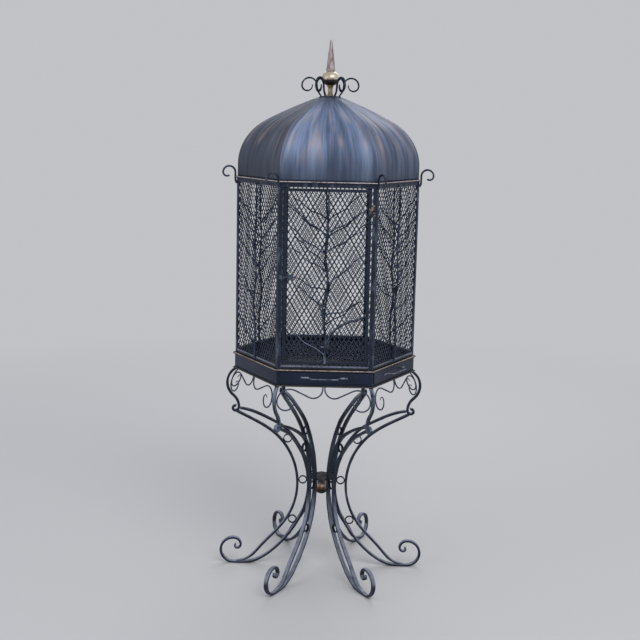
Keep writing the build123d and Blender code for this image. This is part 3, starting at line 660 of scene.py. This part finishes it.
# The top of a leg: where its three bars meet, where the bracket bends, and how bar and stay leave
LegTop = namedtuple("LegTop", "elbow knee bar_start bar_heading bar_through stay_start stay_through")
USUAL_TOP = LegTop(
    elbow=(0.306, 0.598),
    knee=(0.3265, 0.6415),
    bar_start=(0.3015, 0.5935),
    bar_heading=184.6,
    bar_through=(0.195, 0.557),
    stay_start=(0.315, 0.584),
    stay_through=[],
)
FRONT_TOP = LegTop(
    elbow=(0.3, 0.599),
    knee=(0.316, 0.644),
    bar_start=(0.2955, 0.5995),
    bar_heading=192.0,
    bar_through=(0.195, 0.561),
    stay_start=(0.3, 0.593),
    stay_through=[(0.221, 0.5495)],
)
FRONT_TOPS = {
    4: FRONT_TOP,
    5: FRONT_TOP._replace(stay_start=(0.3, 0.589), stay_through=[(0.22, 0.5435)]),
}


def down_arc(path, through, arc, span):
    """Carries a path through these points and round the arc, which it meets without a kink."""
    angle = radians(span[0])
    meeting = arc[0] + arc[2] * cos(angle), arc[1] + arc[2] * sin(angle)
    return path.sweep_through([*through, meeting], span[0] + 90).bend(arc[2], span[1])


def leg_bar_path(top):
    path = Path(top.bar_start, top.bar_heading)
    down_arc(path, [top.bar_through], LEG_ARC, LEG_SPAN)
    path.sweep_through([LEG_SHIN, (FOOT_REACH - FOOT_FLAT, BAR / 2)], 0)
    return path.run(FOOT_FLAT).bends(*FOOT_SCROLL).points


def leg_stay_path(top):
    path = down_arc(Path(top.stay_start, STAY_HEADING), top.stay_through, STAY_ARC, STAY_SPAN)
    path.sweep_through([STAY_SHIN, (FOOT_REACH - FOOT_FLAT + BAR, BAR * 1.4)], -6)
    return path.sweep_through([(FOOT_REACH - BAR, BAR)], -3).points


def leg_bracket_path(top):
    roll = Path(top.elbow, -90).bends(*ELBOW_CURL).points
    stem = Path(top.elbow, 90).bend_to(top.knee).bend_to((BRACKET_TOP, base_underside)).points
    return roll[:0:-1] + stem


def ring_seat(station):
    """Centre and radius of a ring that fills the gap between leg bar and stay at this angle."""
    across, up = cos(radians(station)), sin(radians(station))
    sideways = STAY_ARC[0] - LEG_ARC[0]
    shift = sideways * across
    near = shift + sqrt((STAY_ARC[2] + BAR / 2) ** 2 - sideways**2 + shift**2)
    far = LEG_ARC[2] - BAR / 2
    middle = (near + far) / 2
    return Vector((LEG_ARC[0] + middle * across, LEG_ARC[1] + middle * up)), (far - near) / 2


def tapered(start, thin, narrow):
    """A scale that takes off these shares, evenly from this share of the way to the end."""

    def scale(share):
        drawn = max(0.0, share - start) / (1 - start)
        return 1 - thin * drawn, 1 - narrow * drawn

    return scale


def even(first, last):
    """A scale that runs evenly from the first share to the last."""
    return lambda share: (first + (last - first) * share,) * 2


foot_taper = tapered(0.86, 0.35, 0.15)  # the foot's scroll is drawn out towards its tip
stay_taper = tapered(0.88, 0.75, 0.1)  # the stay is forged thin where it is welded down on the foot
tip_taper = tapered(0.72, 0.45, 0.45)  # a wire keeps its full thickness for most of the way


def stand():
    flat_bar = bar_outline(BAR, BAR_WIDTH)
    bracket_bar = bar_outline(BAR, BRACKET_WIDTH)
    for corner in range(SIDES):
        top = FRONT_TOPS.get(corner, USUAL_TOP)
        # the front brackets get the lighter paint as painted highlight
        bracket_paint = lit_bracket_iron if corner in FRONT_TOPS else leg_iron
        for name, line, outline, taper, finish in (
            ("leg_bar", leg_bar_path(top), flat_bar, foot_taper, leg_iron),
            ("leg_stay", leg_stay_path(top), flat_bar, stay_taper, leg_iron),
            ("leg_bracket", leg_bracket_path(top), bracket_bar, None, bracket_paint),
        ):
            solid = Solid().sweep(*radial(line, corner * TURN), outline, taper, hammer=0.1)
            make(f"{name}_forged_{corner + 1}", solid, finish, [f"{name}_{corner + 1}"])
    rings = Solid()
    for corner in range(SIDES):
        for station in RING_SEATS:
            centre, radius = ring_seat(station)
            loop = [centre + Vector(spot) for spot in circle(radius - RING_BAR[0] / 2, 32)]
            rings.sweep(*radial(loop, corner * TURN), bar_outline(*RING_BAR), closed=True)
    make("leg_rings_wrought", rings, dark_iron, ["leg_rings"])


def waist():
    """The ball under the waist, cut flat where the node's box ends."""
    low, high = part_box("waist_ball")
    radius, middle = high.x, (low.z + high.z) / 2
    steps = 20
    start = asin(max(-1.0, (low.z - middle) / radius))
    end = asin(min(1.0, (high.z - middle) / radius))
    angles = [start + (end - start) * n / steps for n in range(steps + 1)]
    profile = [(max(radius * cos(a), AXIS), middle + radius * sin(a)) for a in angles]
    make("waist_ball_copper", Solid().revolve(profile), ball_copper, ["waist_ball"])


# ---------------- wire scrolls
APRON_WIRE = 0.005
APRON_LEAN = radians(14)
APRON_CURL = ((0.043, -115), (0.0285, -180), (0.011, -160))  # radius and turn of each bend


def apron():
    """Pairs of wire scrolls that hang from the bottom plate and lean outwards."""
    half = Path((0.0035, 0.0), -90).run(0.006).bend(0.032, 115).run(0.052)
    half = half.bends(*APRON_CURL).points
    edge = -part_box("base_plate")[0].y - 0.001 - APRON_WIRE / 2
    solid = Solid()
    for face in range(SIDES):
        out, across = face_ways(face * TURN)
        up = UP * cos(APRON_LEAN) - out * sin(APRON_LEAN)
        top = out * edge + UP * base_underside
        for way in (1, -1):
            line = [top + across * (p.x * way) + up * p.y for p in half]
            solid.sweep(line, across.cross(up), circle(APRON_WIRE / 2), tip_taper, hammer=0.12)
    make("apron_scrolls_wire", solid, iron, ["apron_scrolls"])


HOOK_RADIUS = 0.3255
HOOK_ROD = 0.0036
HOOK_CURL = ((0.0215, -180), (0.0135, -130))
HOOK_FITS = {4: (-35, 0.008), 5: (0, 0.008)}  # by corner: degrees it was twisted, metres it sits lower


def hooks():
    """Hand-bent plant hooks, welded to the posts below the rim."""
    solid = Solid()
    for corner in range(SIDES):
        twist, drop = HOOK_FITS.get(corner, (0, 0.0))
        line = Path((-0.005, rim_top - 0.026), 60).sweep_through([(0.0, rim_top - 0.008)], 90)
        line = line.run(0.02 - drop).bends(*HOOK_CURL).points
        turn = corner * TURN
        points, side = radial(line, turn + radians(twist))
        post = Vector((cos(turn), sin(turn), 0)) * HOOK_RADIUS
        solid.sweep([post + p for p in points], side, circle(HOOK_ROD), even(1.0, 0.85), hammer=0.12)
    make("corner_hooks_wrought", solid, dark_iron, ["corner_hooks"])


CROWN_CURL = ((0.026, -180), (0.018, -190))


def crown():
    """Scrolls round the foot of the finial."""
    solid = Solid()
    foot, start = (0.031, dome_top), (0.046, dome_top + 0.035)
    curl = Path(start, 90).bends(*CROWN_CURL).points
    stem = Path(start, -90).bend_to(foot).points
    bar = bar_outline(0.0058, 0.006, 0.0016)
    for corner in range(SIDES):
        solid.sweep(*radial(stem[:0:-1] + curl, corner * TURN), bar, tip_taper, hammer=0.12)
    make("crown_scrolls_wrought", solid, dark_iron, ["crown_scrolls"])


# ---------------- expanded mesh
DIAMOND = (0.016, 0.0275)  # across and up
STRAND = 0.83  # share of the diamond that is open, across
BOND = 0.775  # and up, where two strands meet
LEAN = 0.0006  # how far the slitting tips each strand up
MESH_SHEET = 0.0008
FLOOR_BORDER = 0.012


def diamonds(bm, half_width, low, high):
    """Open diamonds in staggered rows that cover the rectangle and more."""
    wide, tall = DIAMOND
    outer = [(wide / 2, 0), (0, tall / 2), (-wide / 2, 0), (0, -tall / 2)]
    depths = (0, -LEAN, 0, LEAN)
    middle = (low + high) / 2
    columns = ceil(half_width / wide) + 1
    rows = ceil((high - low) / tall) + 1
    for row in range(-rows, rows + 1):
        for column in range(-columns, columns + 1):
            x = (column + 0.5 * (row % 2)) * wide
            z = middle + row * tall / 2
            if abs(x) > half_width + wide or abs(z - middle) > (high - low) / 2 + tall:
                continue
            ring = [bm.verts.new((x + u, 0, z + v)) for u, v in outer]
            hole = [bm.verts.new((x + u * STRAND, d, z + v * BOND)) for (u, v), d in zip(outer, depths)]
            for n in range(4):
                m = (n + 1) % 4
                bm.faces.new((ring[n], ring[m], hole[m], hole[n]))
    bmesh.ops.remove_doubles(bm, verts=bm.verts, dist=0.0001)


def expanded_mesh(name, half_width, low, high, sides=None):
    """A sheet of expanded metal in (across, depth, up), trimmed to its rectangle or hexagon."""
    bm = bmesh.new()
    diamonds(bm, half_width, low, high)
    across = Vector((1, 0, 0))
    if sides:
        middle = UP * (low + high) / 2
        ways = [Vector((sin(n * TURN), 0, cos(n * TURN))) for n in range(sides)]
        cuts = [(middle + half_width * FLAT * way, way) for way in ways]
    else:
        cuts = [(across * half_width, across), (-across * half_width, -across)]
        cuts += [(UP * high, UP), (UP * low, -UP)]
    for spot, way in cuts:
        geometry = bm.verts[:] + bm.edges[:] + bm.faces[:]
        bmesh.ops.bisect_plane(bm, geom=geometry, plane_co=spot, plane_no=way, clear_outer=True)
    bmesh.ops.recalc_face_normals(bm, faces=bm.faces)
    bmesh.ops.solidify(bm, geom=bm.faces[:], thickness=MESH_SHEET)
    return as_mesh(bm, name)


def cage_mesh():
    door_low, door_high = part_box("door_mesh")
    centre = (door_low.y + door_high.y) / 2
    for panel in range(SIDES):
        node = f"mesh_panel_{panel}" if panel else "door_mesh"
        low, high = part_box("mesh_panel_3" if panel else node)  # the panel that faces along Y, like the door
        mesh = expanded_mesh(f"{node}_expanded", high.x, low.z, high.z)
        mesh.transform(Matrix.Rotation(panel * TURN, 4, "Z") @ Matrix.Translation((0, centre, 0)))
        body = CAGE if panel else "door"
        make(f"{node}_expanded", mesh, mesh_iron, [node], body, 25)


def floor_mesh():
    low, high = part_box("floor_grille")
    outer, inner = high.x, high.x - FLOOR_BORDER
    mesh = expanded_mesh("floor_expanded", outer - FLOOR_BORDER / 2, -1.0, 1.0, SIDES)
    lift = Matrix.Translation((0, 0, (low.z + high.z) / 2))
    mesh.transform(lift @ Matrix.Rotation(pi / 2, 4, "X"))
    make("floor_expanded", mesh, floor_iron, ["floor_grille"], smooth=25)
    corners = ((outer, low.z), (outer, high.z), (inner, high.z), (inner, low.z))
    rings = [[Vector((x, y, z)) for x, y in circle(radius, SIDES)] for radius, z in corners]
    make("floor_border", Solid().skin(rings, closed=True), floor_iron, [], smooth=25)


# ---------------- trees
# The tree in millimetres on its panel: where the trunk bends, as (across, up), and for each twig the
# height at which it leaves the trunk, its reach (negative to the left), its rise, and how late it rises
TRUNK = [(0, 0), (0, 120), (-11, 200), (4, 290), (-5, 385), (2, 500), (2, 622)]
TRUNK_FOOT = [(0, 0), (0, 24), (0, 50)]
LOWEST_TWIG = (50, -140, 100, 1.1)
TWIGS = [
    LOWEST_TWIG,
    (185, -105, 100, 0.6),
    (330, -125, 80, 1.0),
    (390, -140, 100, 1.15),
    (450, -130, 105, 1.1),
    (185, 120, 50, 1.6),
    (280, 125, 110, 0.9),
    (395, 145, 110, 1.2),
    (460, 125, 75, 1.2),
]
TWIG_KINKS = (0, 4, -4, 4, 0)  # how far the hand-bent rod strays from an even curve, at even steps
TREE_HALF_WIDTH = 0.147
TRUNK_RADIUS = 0.0038
TWIG_RADIUS = 0.0027


def twig_points(leaves, reach, rise, late):
    """A twig's bends, from the middle of the trunk to its tip."""
    root = np.interp(leaves, [up for _, up in TRUNK], [across for across, _ in TRUNK])
    points = []
    for n, kink in enumerate(TWIG_KINKS):
        share = n / (len(TWIG_KINKS) - 1)
        points.append((root + (reach - root) * share, leaves + rise * share**late + kink))
    return points


class Tree:
    """The rods of one panel's tree, between its lowest and highest level."""

    def __init__(self, panel, node, width_share=1.0):
        self.turn = panel * TURN
        self.low, self.high = (corner.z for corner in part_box(node))
        self.width_share = width_share

    def rod(self, solid, points, radius, scale=None, standing=0.0, count=10):
        """A hand-bent rod through these places on the panel, given in millimetres."""
        places = [
            (x * self.width_share / 1000, min(max(cage_floor + z / 1000, self.low), self.high))
            for x, z in points
        ]
        first = Vector(places[1]) - Vector(places[0])
        final = Vector(places[-1]) - Vector(places[-2])
        path = Path(places[0], degrees(atan2(first.y, first.x)))
        path.STEP = 0.006
        path.sweep_through(places[1:], degrees(atan2(final.y, final.x)))
        line, side = on_face(path.points, door_face + standing, self.turn)
        solid.sweep(line, side, circle(radius, count), scale, hammer=0.35)

    def grow(self, solid, lowest=None):
        """The trunk and its twigs; the lowest twig, with the trunk's foot, may be a solid of its own."""
        self.rod(solid, TRUNK, TRUNK_RADIUS, even(1.05, 0.7), TRUNK_RADIUS)
        for twig in TWIGS:
            piece, radius = (solid, TWIG_RADIUS)
            if lowest and twig is LOWEST_TWIG:
                piece, radius = (lowest, TWIG_RADIUS * 0.8)
            self.rod(piece, twig_points(*twig), radius, even(1.0, 0.6), TWIG_RADIUS, 8)
        if lowest:
            self.rod(lowest, TRUNK_FOOT, TRUNK_RADIUS + 0.0003, None, TRUNK_RADIUS)


def trees():
    walls, door, lowest = Solid(), Solid(), Solid()
    for panel in range(1, SIDES):
        Tree(panel, "wall_trees").grow(walls)
    make("wall_trees_wrought", walls, tree_iron, ["wall_trees"])
    Tree(0, "door_tree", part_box("door_frame")[1].x / TREE_HALF_WIDTH).grow(door, lowest)
    make("door_tree_wrought", door, tree_iron, ["door_tree"], body="door")
    make("door_tree_lowest_twig", lowest, bright_iron, [], body="door")


# ---------------- roof
DOME_FOOT = 0.317  # corner radius at the rim
DOME_SKIRT = 0.043  # height of the upright part above the rim
DOME_SHOULDER = (0.2187, 0.1949)  # corner radius, and height above the rim, where its two bends meet
DOME_NECK = 0.037  # corner radius under the cap
GORE_SHADING = (1.0, 0.8, 0.7, 0.8, 0.72, 0.38)  # painted shade: how brightly each gore is painted, from the front gore on, darkest on the left, away from the light
SEAM_SHADING = 0.8
SHEET = 0.002


def dome_profile():
    """Distance of a gore's middle from the axis, and height, from the rim up to the cap."""
    path = Path((-DOME_FOOT * FLAT, rim_top), 90)
    path.STEP = 0.006
    path.run(DOME_SKIRT).bend_to((-DOME_SHOULDER[0] * FLAT, rim_top + DOME_SHOULDER[1]))
    path.bend_to((-DOME_NECK * FLAT, dome_top - 0.004))
    return [(-p.x, p.y) for p in path.points]


def dome_sheet(profile):
    """Six gores of beaten sheet; "gore" says where a place lies on its gore, "tone" how brightly it is
    painted, as painted shade.
    """
    lengths = [0.0]
    for before, after in zip(profile, profile[1:]):
        lengths.append(lengths[-1] + dist(before, after))
    across = 20
    bm = bmesh.new()
    gore_layer = bm.verts.layers.float_vector.new("gore")
    tone_layer = bm.verts.layers.float.new("tone")
    for gore in range(SIDES):
        turn = Matrix.Rotation(gore * TURN, 3, "Z")
        rows = []
        for (distance, height), length in zip(profile, lengths):
            row = []
            for n in range(across + 1):
                share = 2 * n / across - 1
                spot = Vector((share * distance * tan(TURN / 2), -distance, height))
                calm = (1 - share**4) * min(1.0, (height - rim_top) / 0.06)
                swell = 0.0012 * noise.noise(Vector((share * 1.3, length * 9, gore * 5.0)))
                ripple = 0.0007 * noise.noise(Vector((share * 5.0, length * 6, gore * 7.0 + 3)))
                spot += Vector((0, -1, 0.4)) * (calm * (swell + ripple))
                vertex = bm.verts.new(turn @ spot)
                vertex[gore_layer] = (share, length / lengths[-1], gore * 3.7)
                vertex[tone_layer] = GORE_SHADING[gore]
                row.append(vertex)
            rows.append(row)
        for low, high in zip(rows, rows[1:]):
            for n in range(across):
                bm.faces.new((low[n], low[n + 1], high[n + 1], high[n]))
    piece = make("dome_sheet", as_mesh(bm, "dome_sheet"), roof, ["dome_gores"], smooth=60)
    modify(piece, "SOLIDIFY", thickness=SHEET, offset=-1.0)


def dome_seams(profile):
    """Rolled seams along the ridges between the gores."""
    seams = Solid()
    ridge = [(distance / FLAT - 0.0008, height) for distance, height in profile]
    for corner in range(SIDES):
        seams.sweep(*radial(ridge, corner * TURN), circle(0.0011, 8), hammer=0.1)
    mesh = make("dome_seams", seams, roof, []).data
    along = mesh.attributes.new("gore", "FLOAT_VECTOR", "POINT")
    for vertex, entry in zip(mesh.vertices, along.data):
        entry.vector = (1.0, (vertex.co.z - rim_top) / (dome_top - rim_top), vertex.co.x * 20)
    tones = mesh.attributes.new("tone", "FLOAT", "POINT").data
    tones.foreach_set("value", [SEAM_SHADING] * len(mesh.vertices))


def finial():
    low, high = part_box("finial_pillar")
    collar, bead, neck = high.x, high.x * 0.9, high.x * 0.74
    lower = [(collar, 0.0), (collar, 0.1), (bead, 0.16), (neck, 0.24), (neck * 0.97, 0.5)]
    upper = [(neck, 0.76), (bead, 0.86), (collar, 0.9), (collar, 1.0)]
    turned = [(radius, low.z + share * (high.z - low.z)) for radius, share in lower + upper]
    profile = [(AXIS, low.z), *turned, (AXIS, high.z)]
    make("finial_pillar_turned", Solid().revolve(profile), dull_gold, ["finial_pillar"])

    low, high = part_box("finial_ball")
    radius, middle, tall = high.x, (low.z + high.z) / 2, (high.z - low.z) / 2
    flat, steps = 0.012, 24
    lean = acos(flat / radius)
    angles = [-lean + 2 * lean * n / steps for n in range(steps + 1)]
    bands = [(radius * cos(a), middle + tall * sin(a) / sin(lean)) for a in angles]
    profile = [(AXIS, low.z), *bands, (AXIS, high.z)]
    make("finial_ball_gilt", Solid().revolve(profile), pale_gold, ["finial_ball"])

    low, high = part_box("finial_spike")
    rise, wide, tip, foot = high.z - low.z, high.x, 0.0046, 0.004
    step, step_share, steps = 0.0008, 0.58, 14  # the upper part is a little thinner
    profile = [(AXIS, low.z), (wide * 0.96, low.z), (wide, low.z + foot)]
    for n in range(1, steps + 1):
        share = n / steps
        radius = wide + (tip - wide) * share - (step if share > step_share else 0.0)
        profile.append((max(radius, tip * 0.75), low.z + foot + (rise - foot - 0.003) * share))
    profile += [(tip * 0.75, high.z - 0.001), (AXIS, high.z)]
    make("finial_spike_copper", Solid().revolve(profile), spike_copper, ["finial_spike"])


# ---------------- drawers and perch
PULL_ROD = 0.0019
PULL_SPAN = 0.13
PULL_BEND = 0.004
EAR = (0.028, 0.0058)  # width and height of the flat ears


def pull_path(stand_off):
    """The rod from above, from ear to ear: out from the panel, along and back."""
    start, shoulder, grip, close = PULL_SPAN / 2 - 0.004, 0.05, 0.045, 0.003
    plan = [(-start, close), (-shoulder, close), (-grip, stand_off)]
    plan += [(-x, y) for x, y in reversed(plan)]
    path = Path(plan[0], 0)
    path.STEP = 0.002
    for corner, after in zip(plan[1:], plan[2:]):
        come = Vector(corner) - path.points[-1]
        go = Vector(after) - Vector(corner)
        turn = atan2(come.cross(go), come.dot(go))
        path.heading = atan2(come.y, come.x)
        path.run(come.length - PULL_BEND * tan(abs(turn) / 2))
        path.bend(PULL_BEND, degrees(turn))
    return path.run((Vector(plan[-1]) - path.points[-1]).length).points


def ear(solid, centre, across, out):
    """A flattened end of the rod, with its screw's place at the centre."""
    half, rounding = (EAR[0] - EAR[1]) / 2, EAR[1] / 2
    angles = [tau * (n + 0.5) / 24 for n in range(24)]
    rings = []
    for depth, inset in ((0.0, 0.0), (0.0014, 0.0), (0.002, 0.0008)):
        ring = []
        for a in angles:
            u = copysign(half, cos(a)) + (rounding - inset) * cos(a)
            ring.append(centre + across * u + UP * ((rounding - inset) * sin(a)) + out * depth)
        rings.append(ring)
    solid.skin(rings)


def screw_head(solid, centre, across, out, radius=0.0019, height=0.001):
    """A low round head on a flat surface."""
    solid.skin(
        [
            [centre + across * x + UP * y + out * (height * rise) for x, y in circle(radius * share, 12)]
            for share, rise in ((1.0, 0.0), (0.92, 0.5), (0.6, 0.9), (0.2, 1.0))
        ]
    )


def pulls():
    low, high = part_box("drawer_front_pull")  # the other one is the same, on the next face
    level, panel = UP * (low.z + high.z) / 2, -high.y
    line = pull_path(high.y - low.y - 0.0025)
    for index, side in enumerate(("front", "right")):
        out, across = face_ways(index * TURN)
        path = [out * (panel + p.y) + across * p.x + level for p in line]
        solid = Solid().sweep(path, UP, circle(PULL_ROD), hammer=0.1)
        for way in (-1, 1):
            centre = across * (way * PULL_SPAN / 2) + level + out * panel
            ear(solid, centre, across, out)
            screw_head(solid, centre + across * (way * 0.009) + out * 0.0016, across, out)
        node = f"drawer_{side}_pull"
        make(f"{node}_forged", solid, pull_iron, [node], body=f"drawer_{side}")


# The branch, as (across, up) from the middle of the cage floor: a straight stem, and where it bends
PERCH_STEM = (0.012, 0.03)
PERCH_TURNS = [(0.017, 0.062), (0.037, 0.087), (0.084, 0.114), (0.136, 0.133), (0.161, 0.155)]
PERCH_HEADING = 42  # at its tip, in degrees


def perch():
    """A branch that rises from its block, between the panels."""
    path = Path((PERCH_STEM[0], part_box("perch_branch")[0].z), 90)
    path.STEP = 0.005
    path.sweep_through([(x, cage_floor + z) for x, z in (PERCH_STEM, *PERCH_TURNS)], PERCH_HEADING)
    line, side = radial(path.points, 0.0)
    solid = Solid().sweep(line, side, circle(0.005, 12), even(1.0, 0.8), hammer=0.3)
    make("perch_branch_wrought", solid, lit_bracket_iron, ["perch_branch"])


# ---------------- CAD nodes that stay
DRESSES = {  # by node: its paint, and how wide its softened edges are
    ("corner_posts", "top_rails", "perch_base", "dome_cap"): (frame_iron, 0.0006),
    ("bottom_rails",): (rail_iron, 0.0006),
    ("door_frame",): (door_iron, 0.0006),
    ("base_walls", "drawer_front", "drawer_right"): (base_paint, 0.0006),
    ("base_plate",): (plate_trim, 0.0007),
    ("base_moulding",): (base_trim, 0.0007),
    ("rim_band",): (rim_trim, 0.0007),
    ("hinge_fixed_leaves", "hinge_moving_leaves", "hinge_pins"): (hinge_iron, 0.0003),
    ("latch_guides", "latch_keeper", "latch_bolt"): (fittings, 0.0003),
    ("waist_collar",): (waist_iron, 0.0008),
    ("drawer_runners",): (frame_iron, 0.0005),
}


def dress(node, material, edge):
    """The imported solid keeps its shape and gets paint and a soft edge."""
    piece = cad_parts[node]
    piece.data.materials.clear()
    piece.data.materials.append(material)
    modify(piece, "WELD", merge_threshold=0.00001)
    modify(piece, "BEVEL", width=edge, segments=2, limit_method="ANGLE", angle_limit=radians(35))
    modify(piece, "WEIGHTED_NORMAL", weight=100, keep_sharp=False)


# ---------------- camera, light and floor
CAMERA_PLACE = (-0.015, -3.934, 1.623)
CAMERA_TURNS = (-0.05, 10.08, 1.23)  # to the right of +Y, down, and round its own axis, in degrees
CAMERA_LENS = 62.74  # in millimetres, on a sensor 36 mm wide
BACKDROP = (0.532, 0.543, 0.568)
FLOOR = (0.56, 0.56, 0.565)
FLOOR_REACH = 14.0


def seen(nodes):
    """One for a ray from the camera or a reflection, and nothing for the rays that light the scene."""
    rays = nodes.node("LightPath").outputs
    mirrored = nodes.maths("MAXIMUM", rays["Is Glossy Ray"], rays["Is Transmission Ray"])
    return nodes.maths("MAXIMUM", rays["Is Camera Ray"], mirrored)


def camera():
    yaw, pitch, roll = (radians(turn) for turn in CAMERA_TURNS)
    ahead = Vector((sin(yaw) * cos(pitch), cos(yaw) * cos(pitch), -sin(pitch)))
    right = Vector((cos(yaw), -sin(yaw), 0))
    up = right.cross(ahead)
    x_axis = right * cos(roll) + up * sin(roll)
    y_axis = up * cos(roll) - right * sin(roll)
    data = bpy.data.cameras.new("camera")
    data.sensor_width = 36.0
    data.lens = CAMERA_LENS
    made = link("camera", data)
    axes = Matrix((x_axis, y_axis, -ahead)).transposed().to_4x4()
    made.matrix_world = Matrix.Translation(CAMERA_PLACE) @ axes
    bpy.context.scene.camera = made


def floor():
    """A pale floor that fades into the backdrop where the camera sees it far off."""
    mesh = bpy.data.meshes.new("floor")
    rim = [(x, y, 0) for x, y in circle(FLOOR_REACH, 64)]
    mesh.from_pydata(rim, [], [tuple(range(len(rim)))])
    paint = Paint("floor")
    mesh.materials.append(paint.finish((*FLOOR, 1), 0.85, 0.0, 0.2))
    reached = paint.node("VectorMath", {0: paint.place}, operation="LENGTH").outputs["Value"]
    far = paint.rise(paint.maths("DIVIDE", reached, FLOOR_REACH), 0.13, 0.32)
    glow = paint.node("Emission", {"Color": (*BACKDROP, 1)}).outputs[0]
    paint.blend(paint.times(far, seen(paint)), paint.shader.outputs[0], glow)
    link("floor", mesh)


def backdrop():
    """Soft sky light, and a plain wall for the rays that see it."""
    world = bpy.data.worlds.new("studio")
    nodes = Nodes(world, "OutputWorld")
    sky = nodes.node("Background", {"Color": (0.9, 0.93, 1.0, 1), "Strength": 0.6}).outputs[0]
    wall = nodes.node("Background", {"Color": (*BACKDROP, 1)}).outputs[0]
    nodes.blend(seen(nodes), sky, wall)
    bpy.context.scene.world = world


def lamps():
    for name, place, size, energy, colour in (
        ("key", (1.6, -3.8, 4.6), 3.2, 130.0, (1.0, 0.98, 0.96)),
        ("fill", (-3.6, -2.4, 2.2), 3.0, 30.0, (0.9, 0.95, 1.0)),
        ("back", (0.6, 3.6, 3.6), 3.0, 60.0, (1.0, 1.0, 1.0)),
    ):
        data = bpy.data.lights.new(name, "AREA")
        data.size, data.energy, data.color = size, energy, colour
        lamp = link(name, data)
        lamp.location = place
        aim = UP * 1.1 - Vector(place)
        lamp.rotation_euler = aim.to_track_quat("-Z", "Y").to_euler()


camera()
floor()
backdrop()
lamps()
bpy.context.scene.view_settings.view_transform = "Standard"

stand()
waist()
apron()
hooks()
crown()
cage_mesh()
floor_mesh()
trees()
gore_profile = dome_profile()
dome_sheet(gore_profile)
dome_seams(gore_profile)
finial()
pulls()
perch()
for nodes, (paint, edge) in DRESSES.items():
    for node in nodes:
        dress(node, paint, edge)
